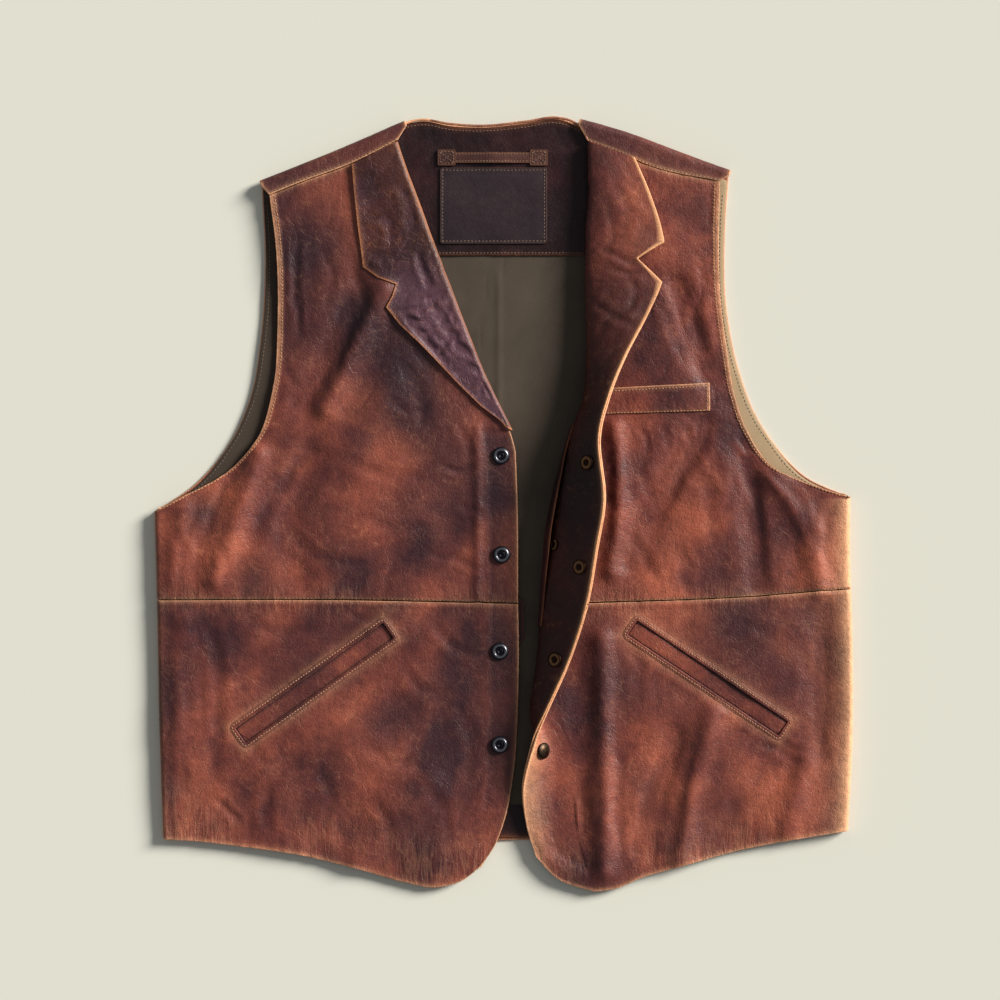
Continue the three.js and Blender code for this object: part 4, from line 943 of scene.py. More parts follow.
front_columns = crowded(0, 1, 138, 0.035, 9)
columns, rows = np.meshgrid(front_columns, np.concatenate([crowded(0.0006, 1, 136, 0.03, 6)[:-3],
                                                           crowded(1, 1.998, 38, 0.1, 7)]))
base = Sheet(front_left(columns, rows))
x, y = base.places()
edge = np.where(y > -6, base.from_left, 99)
relief = (worn_skin(x, y, 11) + creases(CREASES_LEFT_UPPER, x, y) + turned_edge(edge)
          + puckers(y, edge, 21) * (edge < 40) + turned_edge(base.from_right, 3.6, 0.35)
          - 0.6 * step_down(base.from_right, 22, 25) * (y < 62)
          + sewn_seam(x, base.from_bottom, 22)
          + sewn_seam(x, base.from_top, 23, 8, 0.35, 2))
relief = held_relief(base, relief * np.clip(base.from_left / 6 + (y > -6), 0, 1), base.from_left)
base.plan = (front_left_outline, columns[0], rows[:, 0], 0)
upper_left = base.moved(relief)
placket = step_down(base.from_right, 20, 29) * step_down(y, 50, 66)
mark(upper_left, relief, 0.7 * fade(edge, 1.3) + 0.22 * step_down(edge, 4.6, 6)
     + 0.6 * fade(base.from_right, 1.1) + 0.6 * fade(base.from_bottom, 1.0)
     + 0.6 * fade(base.from_top, 1.4) + 0.25 * fade(base.from_left, 3) * (y < -6), STAIN_AND_SHADE_SPOTS_LEFT,
     0.5 * placket)
upper_left.marks["gather"] = drawn_up(x, y, base.from_bottom, 24)
make("front_left_upper_panel", [wall(upper_left, FRONT_LEATHER)], front_leather,
     ["front_left_upper"])

columns, rows = np.meshgrid(front_columns, crowded(2.0008, 3, 106, 0.045, 9))
base = Sheet(front_left(columns, rows))
x, y = base.places()
gathers = 0.35 * hills(x, y * 0.25, 9, 44) * step_down(base.from_bottom, 10, 60)
relief = (worn_skin(x, y, 41) + creases(CREASES_LEFT_LOWER, x, y) + turned_edge(base.from_right, 3.6, 0.35)
          - 0.6 * step_down(base.from_right, 22, 25) * (y > -250)
          + turned_edge(base.from_bottom, 4.0, 0.3) + puckers(x, base.from_bottom, 45, 10, 0.35) + gathers
          + sewn_seam(x, base.from_top, 46)
          + 0.35 * bell(base.from_top - 3.2, 2)) * np.clip(base.from_left / 6, 0, 1)
relief = held_relief(base, relief, base.from_left)
over = window_frame(x, y, WINDOW_LEFT)[0]
relief = relief * step_down(-over, -1.5, 0) + pocket_relief(x, y, WINDOW_LEFT)
base.plan = (front_left_outline, columns[0], rows[:, 0], 0)
seat_left = base.moved(relief)
lower_left = base.moved(relief - WINDOW_SINK * step_down(over, *WINDOW_RUN))
# The band 9 mm in from the side is painted shade, where the front turns down at the side, away from the
# light.
mark(lower_left, np.maximum(relief, -1), 0.6 * fade(base.from_right, 1.2) + 0.6 * fade(base.from_bottom, 1.6)
     + 0.5 * fade(base.from_top, 1.2) + 0.25 * fade(base.from_left, 3)
     + 0.35 * bell(over, 6), STAIN_AND_SHADE_SPOTS_LEFT,
     0.5 * step_down(base.from_right, 20, 29) * step_down(-y, 190, 262)
     + 0.45 * bell(base.from_left - 9, 7))
hem_draw = step_down(base.from_bottom, 14, 60) * np.clip(0.5 + 1.2 * hills(x, y, 55, 48), 0, 1)
lower_left.marks["gather"] = drawn_up(x, y, base.from_top, 47) + hem_draw
make("front_left_lower_panel", [wall(lower_left, FRONT_LEATHER)], front_leather,
     ["front_left_lower"])

# The lapel of that front is cut with its facing, folded over the front edge and pressed down.
# It shows the most wear: heavy creases run down it, and its edge is rubbed pale.
LAPEL_LEATHER = 1.4
LAPEL_LIFT = 0.8
LAPEL_UNDER_ARM = 7
PLAY = 0.3
# Columns: the outer edge, the roll, and the roll's lowest and highest level.
LAPEL_SECTIONS = [
    [-124, 278.4, -86.6, 297.2, 5.7, 13.5], [-122.5, 258, -78, 272, 5.2, 13.2],
    [-119.5, 229, -67, 243, 4.6, 13], [-116, 203, -59.5, 222, 4.4, 13], [-115, 194, -56, 213, 4.4, 13],
    [-103, 185.5, -53.5, 206, 4.6, 13], [-88, 180, -51, 200, 4.4, 12.8], [-91, 170, -47.5, 190, 3.8, 12.6],
    [-96, 161, -43, 179, 3.6, 12.4], [-85, 147, -36, 160, 3.7, 12], [-68.5, 131.5, -27, 137, 3.8, 11.8],
    [-52, 114.5, -18, 114, 3.8, 11.6], [-35.5, 97, -9, 94, 3.8, 11.4], [-19, 81, -0.5, 77, 3.8, 11],
    [-3, 69, 4.6, 67, 3.8, 11], [3, 62.5, 7.4, 61, 3.8, 11],
]
# Columns: as on the front, three points, the half width and the depth.
CREASES_LAPEL = [
    [-84, 262, -78, 244, -76, 222, 3.5, 0.6], [-100, 240, -92, 226, -96, 208, 3.5, 0.5],
    [-112, 236, -98, 230, -80, 236, 3, 0.4], [-70, 208, -66, 192, -60, 176, 3.2, 0.8],
    [-86, 156, -66, 160, -46, 174, 3, 0.9], [-80, 148, -62, 150, -42, 160, 3, 0.8],
    [-66, 136, -52, 146, -36, 152, 2.8, 0.8], [-56, 122, -44, 136, -34, 140, 2.8, 0.9],
    [-48, 118, -36, 128, -26, 124, 2.6, 0.8], [-38, 102, -28, 114, -18, 108, 2.6, 0.8],
    [-84, 160, -64, 134, -44, 112, 3, 0.9], [-62, 170, -48, 146, -30, 122, 3.2, 0.8],
    [-24, 90, -16, 96, -8, 88, 2.4, 0.6], [-110, 206, -100, 200, -88, 204, 3, 0.4],
]
# Columns as for the fronts' spots. These spots lay a pale purple painted sheen on the lapel.
SHEEN_SPOTS_LAPEL = [
    [-118, 250, 12, 0.4], [-70, 180, 22, 0.7], [-60, 150, 24, 0.8], [-42, 130, 22, 0.9],
    [-22, 100, 20, 0.9], [-6, 76, 14, 0.8],
]
lapel_rows = spline(range(len(LAPEL_SECTIONS)), LAPEL_SECTIONS)
round_, section = np.meshgrid(np.concatenate([crowded(0, 1, 34, 0.1, 6), np.linspace(1, 2, 12)[1:],
                                              [2.3, 2.7, 3.0]]),
                              np.unique(np.concatenate([[0.012], np.linspace(0.05, 15, 190), range(1, 16)])))
lapel_row = lapel_rows(section)
outer = np.dstack([np.interp(section, range(16), np.array(LAPEL_SECTIONS)[:, k]) for k in (0, 1)])
roll = lapel_row[..., 2:4]
low, high = lapel_row[..., 4], lapel_row[..., 5]
radius = (high - low) / 2
length = np.linalg.norm(roll - outer, axis=-1)
way = (roll - outer) / length[..., None]
centre = roll - way * radius[..., None]
over_share = np.clip(round_, 0, 1)
xy = outer + over_share[..., None] * (centre - outer)
guess = locate(front_left_outline, xy[..., 0], xy[..., 1], 0.8, 0.5)
rest = front_left(*guess)[..., 2] + PLAY + LAPEL_LEATHER + LAPEL_LIFT
over_z = rest + over_share ** 2 * np.maximum(0, high - rest)
angle = math.pi * (1.5 - np.clip(round_, 1, 2))
turn_xy = centre + way * (radius * np.cos(angle))[..., None]
turn_z = (low + high) / 2 + radius * np.sin(angle)
back_run = np.minimum(LAPEL_UNDER_ARM, 0.6 * length) * np.clip(round_ - 2, 0, 1)
points = np.where((round_ <= 1)[..., None], np.dstack([xy, over_z]),
                  np.dstack([turn_xy - way * back_run[..., None], np.where(round_ > 2, low, turn_z)]))
base = Sheet(points)
x, y = points[..., 0], points[..., 1]
open_part = np.clip((1.5 - round_) / 0.6, 0.2, 1) * np.clip((3 - round_) / 0.8, 0, 1)
relief = (skin(x, y, (0.3, 30, 61), (0.5, 14, 62, 50, 2.2), (0.12, 7, 63, 120, 1.8))
          + 1.4 * creases(CREASES_LAPEL, x, y)) * np.clip(base.from_left / 5, 0.25, 1) * open_part
relief = relief + 0.3 * bell(base.from_left, 4)
lapel = base.moved(np.clip(relief, -0.9, 1.2))
lapel_edge = np.minimum(lapel.from_left, np.where(section > 7, lapel.from_bottom, 99))
off_crest = np.abs(round_ - 1.4)
# The spots lay a painted sheen on the lapel.
mark(lapel, relief, 0.9 * fade(lapel_edge, 1.0) + 0.4 * np.exp(-off_crest * 6)
     + 0.25 * np.exp(-off_crest * 7) * (y > 215), SHEEN_SPOTS_LAPEL)
# The lapel's dark tones are partly painted shade, where it faces away from the light; its pale purple is a
# painted sheen.
lapel_leather_shade_sheen = leather("lapel_leather_shade_sheen", (24, 10, 11), (40, 18, 17), (74, 35, 27), (222, 146, 96),
                        (90, 60, 72), 0.47, 1.0, None, 1.5)
make("lapel_left_panel", [wall(lapel, LAPEL_LEATHER)], lapel_leather_shade_sheen, ["lapel_left"])

# The wearer's left front lies at the right. Its front edge is rolled back, so the facing shows inside.
# The leather and the facing are sewn together along the free edge, and both raw edges show pale.
ROLLED_LEATHER = 1.6
FACING_LEATHER = 1.2
FRONT_ARMHOLE_RIGHT = [[177, 264.5], [176, 217], [177.5, 168], [183, 125], [190, 86], [200, 59],
                       [222, 29], [249, 17], [284, 6]]
WAIST_SEAM_RIGHT = [[51, -81], [112, -79], [161, -77.5], [284.9, -69]]
HEM_RIGHT = [[75, -317], [92, -314.5], [112, -306], [145, -296.5], [194, -283], [243, -273.5], [282.5, -267]]
UNDERARM_LINE_RIGHT = [[61, 5], [170, 6], [284, 6]]
# Columns: as on the other front, from the seat of the roll to the side.
FRONT_HEIGHTS_RIGHT = [
    [0, 10, 10, 10, 10, 10], [0.33, 8.6, 9.2, 9.5, 8.5, 6.4], [0.66, 7, 8.6, 9, 8, 6],
    [1, 6.6, 8.2, 8.6, 8.4, 8.5], [1.5, 6.6, 8.2, 8.6, 8.6, 8.5], [2, 6.6, 8.2, 8.4, 8.4, 8.5],
    [2.5, 6.8, 7.8, 8, 8, 8.5], [3, 6.6, 6.6, 6.6, 6.8, 8.5],
]
# Columns: as on the other front, here and in the creases and stains below.
FOLDS_RIGHT = [
    [246, -205, 240, -240, 232, -268, 9, 2.6], [140, -190, 126, -230, 114, -280, 9, -2.9],
    [64, -150, 62, -230, 66, -290, 10, -2.6],
    [141, 180, 152, 142, 168, 106, 9, -4.3], [161, 62, 120, -4, 108, -46, 12, -4.3],
    [91, 62, 95, 3, 88, -54, 8, 4.1], [200, 50, 202, -4, 208, -66, 9, -4.2],
    [222, 20, 252, -21, 258, -66, 9, 3.5], [80, -111, 80, -210, 82, -300, 9, 4.9],
    [171, -172, 153, -230, 145, -290, 10, 4.4], [235, -210, 194, -246, 184, -281, 13, -3.4],
    [259, -95, 260, -150, 258, -201, 12, -2.6],
]
# Columns: the free edge, the roll and how high it pulls, and the seat on the body.
ROLL_SECTIONS = [
    [107, 283, 11.2, 71.5, 298.7, 14.5, 86, 290.7], [118.5, 256, 12.5, 72, 256, 20, 86, 256],
    [128, 228, 13.5, 70, 228, 21, 85, 228], [131.5, 205, 15, 69.5, 205, 22.5, 85, 205],
    [129, 181, 17, 69.5, 181, 24, 85, 181], [117, 153, 22, 70, 153, 25, 84, 153],
    [100, 120, 31, 70.5, 120, 24, 83, 120], [87, 87, 38, 68, 87, 22, 80, 87],
    [79, 52, 44, 56, 52, 21, 71, 52], [83, 5, 48, 46, 5, 20, 61, 5],
    [77, -35, 47, 40, -35, 18, 55, -35], [69, -81, 41, 34, -81, 16, 51, -81],
    [54.5, -127.5, 31, 30, -127.5, 14, 46, -127.5], [36, -170, 26, 25, -170, 11, 46, -170],
    [23.5, -201, 21, 33, -201, 9, 56, -203], [16, -232, 15, 31, -234, 9, 58, -238],
    [18.5, -262, 9.5, 33, -266, 8.8, 62, -276], [26, -287.5, 7, 44, -309, 8, 75, -317],
]
UNDERARM_SECTION = 9
WAIST_SECTION = 11
HEM_SECTION = 17
NOTCH_TIP = 2.62
NOTCH_APEX = 3.2
NOTCH_END = 4.0
NOTCH_DEPTH = 0.115
CREASES_RIGHT_UPPER = [
    [156, 172, 158, 150, 164, 118, 4.5, 0.9], [169, 84, 158, 44, 128, -2, 5, 0.9],
    [86, 58, 88, 10, 84, -40, 4, 0.8], [196, 44, 206, 4, 210, -60, 4.5, 0.8],
    [222, 26, 240, 4, 262, -46, 4, 0.8], [193, 58, 200, 46, 206, 40, 3, 0.6],
    [216, 32, 222, 22, 230, 14, 3, 0.6],
    [128, 170, 138, 140, 150, 110, 4, 0.5], [120, 60, 112, 30, 124, 0, 4, 0.5],
    [150, 40, 168, 10, 172, -40, 5, 0.6], [100, -20, 116, -44, 128, -66, 4, 0.5],
    [236, -30, 240, -50, 232, -72, 4, 0.5], [268, 0, 262, -24, 268, -60, 3.5, 0.5],
    [140, -30, 150, -50, 146, -72, 4, 0.5], [180, 60, 190, 30, 184, -10, 4.5, 0.5],
    [110, 64, 116, 56, 118, 44, 2.6, 0.5], [130, 66, 134, 56, 132, 46, 2.6, 0.4],
    [150, 66, 150, 58, 154, 50, 2.6, 0.5], [160, 200, 164, 180, 160, 160, 3.5, 0.4],
]
CREASES_RIGHT_LOWER = [
    [78, -100, 76, -180, 80, -290, 5, 0.8], [96, -200, 92, -250, 98, -296, 4, 0.6],
    [163, -180, 146, -236, 138, -284, 4.5, 0.8], [214, -216, 190, -246, 178, -276, 5, 0.7],
    [130, -206, 116, -240, 118, -282, 4.5, 0.6], [180, -110, 200, -100, 224, -106, 4, 0.5],
    [100, -110, 112, -130, 108, -160, 4, 0.5], [210, -196, 226, -200, 238, -212, 3, 0.6],
    [224, -192, 236, -200, 250, -200, 3, 0.6], [262, -100, 258, -160, 262, -230, 4.5, 0.6],
    [200, -170, 216, -180, 238, -176, 3, 0.5], [60, -220, 66, -250, 62, -290, 4, 0.5],
    [240, -110, 250, -140, 244, -170, 4, 0.4], [110, -250, 122, -272, 120, -296, 4, 0.6],
]
# Most spots are stains. Those in the valley beside the roll on the lower front, and the two near x 205 above
# the waist, are painted shade in the folds.
STAIN_AND_SHADE_SPOTS_RIGHT = [
    [205, 0, 18, 0.55], [207, -50, 16, 0.5], [116, -30, 16, 0.4], [154, 80, 14, 0.4], [95, -44, 14, 0.3],
    [160, 140, 14, 0.35], [88, -142, 26, 0.8], [66, -110, 16, 0.5], [190, -92, 22, 0.8],
    [222, -128, 34, 0.6], [170, -262, 22, 0.4], [252, -88, 16, 0.6], [50, -160, 12, 0.6],
    [112, -236, 20, 0.45], [262, -180, 18, 0.35], [150, 20, 16, 0.4], [186, -240, 18, 0.4],
    [95, 200, 16, 0.4], [150, 240, 16, 0.3], [74, -250, 16, 0.4],
]


def roll_control(row):
    """The Bezier control that makes a section's roll reach just as far left as its table says."""
    to_edge, to_seat = row[0] - row[3], row[6] - row[3]
    if to_edge <= 0:
        return row[3]
    reach = (to_edge + to_seat) / 8
    for _ in range(20):
        a, b = to_edge + reach, to_seat + reach
        reach = a * b / (math.sqrt(a) + math.sqrt(b)) ** 2
    return row[3] - reach


roll_rows = spline(range(len(ROLL_SECTIONS)),
                   [[*row[:3], roll_control(row), *row[4:]] for row in ROLL_SECTIONS])
height_right = heights(FRONT_HEIGHTS_RIGHT)
LEVEL_KNOTS = ([0, UNDERARM_SECTION, WAIST_SECTION, HEM_SECTION], [0, 1, 2, 3])


def level_at(section):
    """The level of the right front, 0 to 3, at a section number."""
    return np.interp(section, *LEVEL_KNOTS)


def section_at(level):
    """The section number at a level."""
    return np.interp(level, *LEVEL_KNOTS[::-1])


def roll_surface(along, section):
    """The outer surface of the rolled edge, a cubic Bezier from the free edge at 0 to the seat at 1."""
    along, section = np.broadcast_arrays(np.asarray(along, float), np.asarray(section, float))
    row = roll_rows(section)
    seat_z = height_right(0 * section, level_at(section)) + fold_rise(FOLDS_RIGHT, row[..., 6], row[..., 7])
    weights = [(1 - along) ** 3, 3 * along * (1 - along) ** 2, 3 * along ** 2 * (1 - along), along ** 3]

    def mixed(*values):
        """The sum of each value times its weight."""
        return sum(weight * value for weight, value in zip(weights, values))

    return np.stack([mixed(row[..., 0], row[..., 3], row[..., 3], row[..., 6]),
                     mixed(row[..., 1], row[..., 4], row[..., 4], row[..., 7]),
                     mixed(row[..., 2], row[..., 5], seat_z - PLAY, seat_z)], axis=-1)


def notched_roll(along, section):
    """The rolled edge with the notch of the lapel cut into its free edge."""
    cut = np.interp(section, [NOTCH_TIP, NOTCH_APEX, NOTCH_END], [0, NOTCH_DEPTH, 0])
    soft = NOTCH_DEPTH * bell(section - NOTCH_APEX, 0.8)
    shift = cut + (soft - cut) * np.clip(along / 0.08, 0, 1)
    return roll_surface(along + shift * np.clip(1 - along / 0.32, 0, 1) ** 2, section)


def seat_line(start, end):
    """The seat of the roll as an edge of a patch, from one level to another."""
    return lambda share: roll_rows(section_at(start + np.asarray(share, float) * (end - start)))[..., 6:8]


front_right_outline = stack([
    patch(curve(SHOULDER_SEAM_RIGHT[1:]), curve(UNDERARM_LINE_RIGHT), seat_line(0, 1),
          curve(FRONT_ARMHOLE_RIGHT)),
    patch(curve(UNDERARM_LINE_RIGHT), curve(WAIST_SEAM_RIGHT), seat_line(1, 2),
          side_edge(side_right, 6, -69)),
    patch(curve(WAIST_SEAM_RIGHT), curve(HEM_RIGHT), seat_line(2, 3), side_edge(side_right, -69, -267)),
])
front_right = front_surface(front_right_outline, height_right, FOLDS_RIGHT)
ROLL_COLUMNS = crowded(0, 1, 24, 0.12, 6)


def rolled_base(sections):
    """The rolled edge and the body of this front as one grid of points."""
    along, section = np.meshgrid(ROLL_COLUMNS, sections)
    across, level = np.meshgrid(crowded(0, 1, 104, 0.03, 8), level_at(sections))
    made = Sheet(np.concatenate([notched_roll(along, section), front_right(across, level)[:, 1:]], axis=1))
    made.plan = (front_right_outline, across[0], level[:, 0], len(ROLL_COLUMNS) - 1)
    return made


def rolled_relief(sheet, seed):
    """Relief along the roll's own direction: its arc across and the height down."""
    q, y = sheet.from_left, sheet.points[..., 1]
    return (skin(q, y, (0.3, 24, seed), (0.3, 16, seed + 1, 70, 1.6), (0.22, 8, seed + 2, 20, 1.5))
            * np.clip(q / 5, 0.2, 1))


def front_right_relief(base, seed, crease_rows):
    """The skin and creases of the body, fading into the roll's own relief past the seat."""
    seat = len(ROLL_COLUMNS) - 1
    x, y = base.places()
    past = step_down(-(base.from_left - base.from_left[:, seat:seat + 1]), -10, 14)
    body = worn_skin(x, y, seed) + creases(crease_rows, x, y)
    return past * body + (1 - past) * rolled_relief(base, 57)


def side_painted_light(sheet):
    """The painted highlight down the side fold, where it turns toward the light: a strong narrow bell and a
    faint wide one.
    """
    return 1.2 * bell(sheet.from_right, 9) + 0.2 * bell(sheet.from_right, 22)


upper_sections = np.unique(np.concatenate([
    [0.004, NOTCH_TIP, NOTCH_APEX, NOTCH_END], np.linspace(0.02, 9, 155), np.linspace(9, 10.85, 36),
    np.linspace(10.88, 10.994, 6)]))
lower_sections = np.unique(np.concatenate([np.linspace(11.006, 11.12, 6), np.linspace(11.15, 16.9, 112),
                                           np.linspace(16.92, 17, 4)]))
base = rolled_base(upper_sections)
x, y = base.places()
edge = np.where(y > 6, base.from_right, 99)
relief = front_right_relief(base, 101, CREASES_RIGHT_UPPER)
relief = (relief + turned_edge(edge) + puckers(y, edge, 121) * (edge < 40)
          + sewn_seam(x, base.from_bottom, 122)
          + sewn_seam(x, base.from_top, 123, 8, 0.35, 2))
relief = held_relief(base, relief * np.clip(base.from_right / 6 + (y > 6), 0, 1), base.from_right)
upper_right = base.moved(relief)
# The mark paints a highlight down the side fold, where it turns toward the light.
mark(upper_right, relief, 0.7 * fade(edge, 1.3) + 0.22 * step_down(edge, 4.6, 6) + fade(base.from_left, 1.3)
     + 0.6 * fade(base.from_bottom, 1.0) + 0.6 * fade(base.from_top, 1.4)
     + side_painted_light(base) * (y < 6), STAIN_AND_SHADE_SPOTS_RIGHT)
upper_right.marks["gather"] = drawn_up(x, y, base.from_bottom, 124)
make("front_right_upper_panel", [wall(upper_right, ROLLED_LEATHER)], front_leather,
     ["front_right_upper"])

base = rolled_base(lower_sections)
x, y = base.places()
relief = front_right_relief(base, 141, CREASES_RIGHT_LOWER)
gathers = 0.3 * hills(x, y * 0.3, 9, 144) * step_down(base.from_bottom, 10, 50) * (x > 80)
relief = (relief + turned_edge(base.from_bottom, 4.0, 0.3) + puckers(x, base.from_bottom, 145, 10, 0.3)
          + gathers
          + sewn_seam(x, base.from_top, 146)
          + 0.35 * bell(base.from_top - 3.2, 2)) * np.clip(base.from_right / 6, 0, 1)
relief = held_relief(base, relief, base.from_right)
over = window_frame(x, y, WINDOW_RIGHT)[0]
relief = relief * step_down(-over, -1.5, 0) + pocket_relief(x, y, WINDOW_RIGHT)
seat_right = base.moved(relief)
lower_right = base.moved(relief - WINDOW_SINK * step_down(over, *WINDOW_RUN))
# The mark paints a highlight down the side fold and on the lower rolled edge, where they face the light.
mark(lower_right, np.maximum(relief, -1), fade(base.from_left, 1.3) + 0.6 * fade(base.from_bottom, 1.6)
     + 0.5 * fade(base.from_top, 1.2) + side_painted_light(base) + 0.35 * bell(over, 6)
     + 0.45 * bell(base.from_left, 14) * step_down(y, -200, -150),
     STAIN_AND_SHADE_SPOTS_RIGHT)
hem_draw = (step_down(base.from_bottom, 10, 50) * np.clip(0.4 + 1.2 * hills(x, y, 55, 148), 0, 1)
            * step_down(-base.from_left, -40, -10))
lower_right.marks["gather"] = drawn_up(x, y, base.from_top, 147) + hem_draw
make("front_right_lower_panel", [wall(lower_right, ROLLED_LEATHER)], front_leather,
     ["front_right_lower"])

# The facing is one long piece of smooth leather behind the rolled edge. Its upper end is the lapel's
# face, as red and creased as the front; below the lapel it is painted near black, as shade where the
# roll faces away from the light.
CREASES_FACING = [
    [79, 209, 100, 199, 120, 205, 2.6, 0.7], [71, 168, 91, 151, 112, 143, 2.8, 0.8],
    [75, 139, 89, 150, 112, 168, 2.8, 0.8], [79, 110, 91, 123, 105, 131, 2.6, 0.7],
    [82, 196, 96, 188, 118, 190, 2.6, 0.5], [73, 94, 83, 102, 94, 105, 2.4, 0.5],
    [83, 250, 89, 225, 84, 200, 3, 0.6], [95, 258, 104, 237, 97, 217, 3, 0.5],
    [100, 190, 108, 172, 104, 156, 2.6, 0.6], [76, 160, 84, 168, 88, 182, 2.4, 0.6],
    [94, 276, 90, 262, 96, 246, 3, 0.4], [110, 240, 114, 226, 108, 214, 2.6, 0.4],
]
BLOTS_FACING = [
    [78, 190, 24, 0.35], [90, 150, 22, 0.4], [84, 110, 20, 0.4], [116, 215, 12, 0.4], [76, 240, 12, 0.5],
]
facing_sections = np.unique(np.concatenate([upper_sections[:-6], lower_sections[6:-1], [16.98]]))
along, section = np.meshgrid(ROLL_COLUMNS[ROLL_COLUMNS < 0.8], facing_sections)
base = Sheet(notched_roll(along, section))
q, x, y = base.from_left, base.points[..., 0], base.points[..., 1]
lapel_part = step_down(section, 5.0, 7.6)
face = (0.35 * hills(q, y, 24, 161) - 0.35 * wrinkles(x, y, 14, 162, 50, 2.2)
        - 0.25 * wrinkles(x, y, 7, 163, 120, 1.8) + creases(CREASES_FACING, x, y)) * np.clip(q / 4, 0.2, 1)
relief = rolled_relief(base, 57) * (1 - lapel_part) - np.clip(face, -1.1, 0.8) * lapel_part
facing = base.moved(relief - ROLLED_LEATHER - PLAY - 0.6 * fade(q, 3))
mark(facing, -relief, fade(q, 1.1), BLOTS_FACING)
facing.marks["lapel"] = 0.6 * lapel_part + 0.4 * step_down(section, 2.6, 5.2)
# Below the lapel the facing's near-black tones are painted shade.
facing_leather_with_shade = leather("facing_leather_with_shade", (27, 7, 6), (40, 11, 9), (62, 21, 15), (238, 174, 124),
                         (16, 9, 10), 0.52, 0.9, ((62, 28, 26), (108, 50, 42), (156, 82, 58)), 0.6)
make("facing_panel", [wall(facing, FACING_LEATHER)], facing_leather_with_shade, ["facing_right"])

# The chest pocket is a welt of its own leather, folded double and stitched on over the slit.
CHEST_WELT = {"top": [[80, 95], [168.5, 99.5]], "bottom": [[80, 73.5], [169, 76.5]]}
WELT_THICKNESS = 1.2


def between(top, bottom):
    """A patch between two lines whose ends are joined straight."""
    return patch(top, bottom, curve([top(0.0), bottom(0.0)]), curve([top(1.0), bottom(1.0)]))


columns, rows = np.meshgrid(crowded(0, 1, 60, 0.05, 5), crowded(0, 1, 16, 0.12, 4))
xy = between(curve(CHEST_WELT["top"]), curve(CHEST_WELT["bottom"]))(columns, rows)
points, ways = upper_right.above(xy[..., 0], xy[..., 1])
base = Sheet(points + ways * (PLAY + WELT_THICKNESS))
x, y = base.places()
relief = (skin(x, y, (0.3, 20, 201), (0.22, 7, 202, 80, 2)) - 0.5 * fade(base.from_bottom, 1.2)
          + puckers(x, base.from_bottom, 203, 5, 0.25) - 0.2 * bell(base.from_top - 2.6, 0.9))
chest_welt = base.moved(relief)
mark(chest_welt, relief, 0.7 * fade(np.minimum(base.from_top, base.from_right), 1.4)
     + 0.35 * fade(base.from_bottom, 1.2), [[92, 84, 10, 0.3]])
make("chest_pocket_welt", [wall(chest_welt, WELT_THICKNESS)], front_leather, ["chest_welt"])

# Each slanted pocket is a window in the lower front. Its edge is turned under all round and stitched,
# and a smooth welt, set a little deeper, closes it.
WELT_DEPTH = 1.2
WINDOW_WELT_THICKNESS = 1.1
WINDOW_CORNER = 0.7
WINDOW_STEP = 1.6
WINDOW_HELD = 1.8
# Columns: distance out of the window's edge, and height over the front.
WINDOW_EDGE = [[0.05, -2.6], [0.0, -0.6], [0.15, 0.1], [0.5, 0.36], [1.1, 0.42], [1.9, 0.36], [2.5, 0.18],
               [3.2, 0.32], [4.4, 0.18], [5.3, -0.2], [5.5, -0.9], [3.0, -1.4], [1.0, -2.6]]


def tube(points):
    """A closed tube: a grid of points whose rows and columns both run round and join."""
    rows, columns = points.shape[:2]
    n = np.arange(rows * columns).reshape(rows, columns)
    right, below = np.roll(n, -1, axis=1), np.roll(n, -1, axis=0)
    quads = np.stack([n, below, np.roll(below, -1, axis=1), right], -1).reshape(-1, 4)
    return points.reshape(-1, 3), quads


def on_window(window, along, up):
    """The x and the y of places given along and up a window: turned by its slant, set on its middle."""
    c, s = slant(window)
    return window["x"] + along * c - up * s, window["y"] + along * s + up * c


def round_window(window, count=5):
    """Places round a window's edge: its corners as quarter circles, and even steps between them."""
    half = np.array([window["length"], window["width"]]) / 2 - WINDOW_CORNER
    corners = []
    for quarter, signs in enumerate(([1, 1], [-1, 1], [-1, -1], [1, -1])):
        turn = np.linspace(quarter, quarter + 1, count) * math.pi / 2
        corners.append(np.stack([np.cos(turn), np.sin(turn)], -1) * WINDOW_CORNER + half * signs)
    closed = np.concatenate([*corners, corners[0][:1]])
    run = run_along(closed)
    places = np.concatenate([np.linspace(a, b, max(2, int((b - a) / WINDOW_STEP)), endpoint=False)
                             for a, b in zip(run, run[1:])])
    return np.stack(on_window(window, *(np.interp(places, run, closed[:, k]) for k in (0, 1))), -1)


def stretch_out(line, out):
    """A closed line moved out by a distance, square to its own direction."""
    ahead = unit(np.roll(line, -1, axis=0) - np.roll(line, 1, axis=0))
    return line + np.stack([ahead[:, 1], -ahead[:, 0]], -1) * out


def window_edge(window, front, side):
    """The turned edge round a window: its section carried along the window's outline on the front."""
    outline = round_window(window)
    lines = []
    for out, height in WINDOW_EDGE:
        held = stretch_out(outline, max(out, WINDOW_HELD))
        level = front.above(held[:, 0], held[:, 1])[0][:, 2]
        lines.append(np.column_stack([stretch_out(outline, out), level + height]))
    points, quads = tube(np.stack(lines[::-1], axis=1))
    lip = np.tile([0.1 if 3 < out < 5 else 0.0 for out, _ in WINDOW_EDGE[::-1]], len(outline))
    # The parts of the edge that go down into the window are painted dark, as shade in the recess; the rest is
    # darkened less.
    dark = np.tile([1.0 if height < -0.5 else 0.35 for _, height in WINDOW_EDGE[::-1]], len(outline))
    make("pocket_edge_" + side, [(points, quads, {"hollow": 0 * lip, "worn": lip, "stain": dark})],
         front_leather)


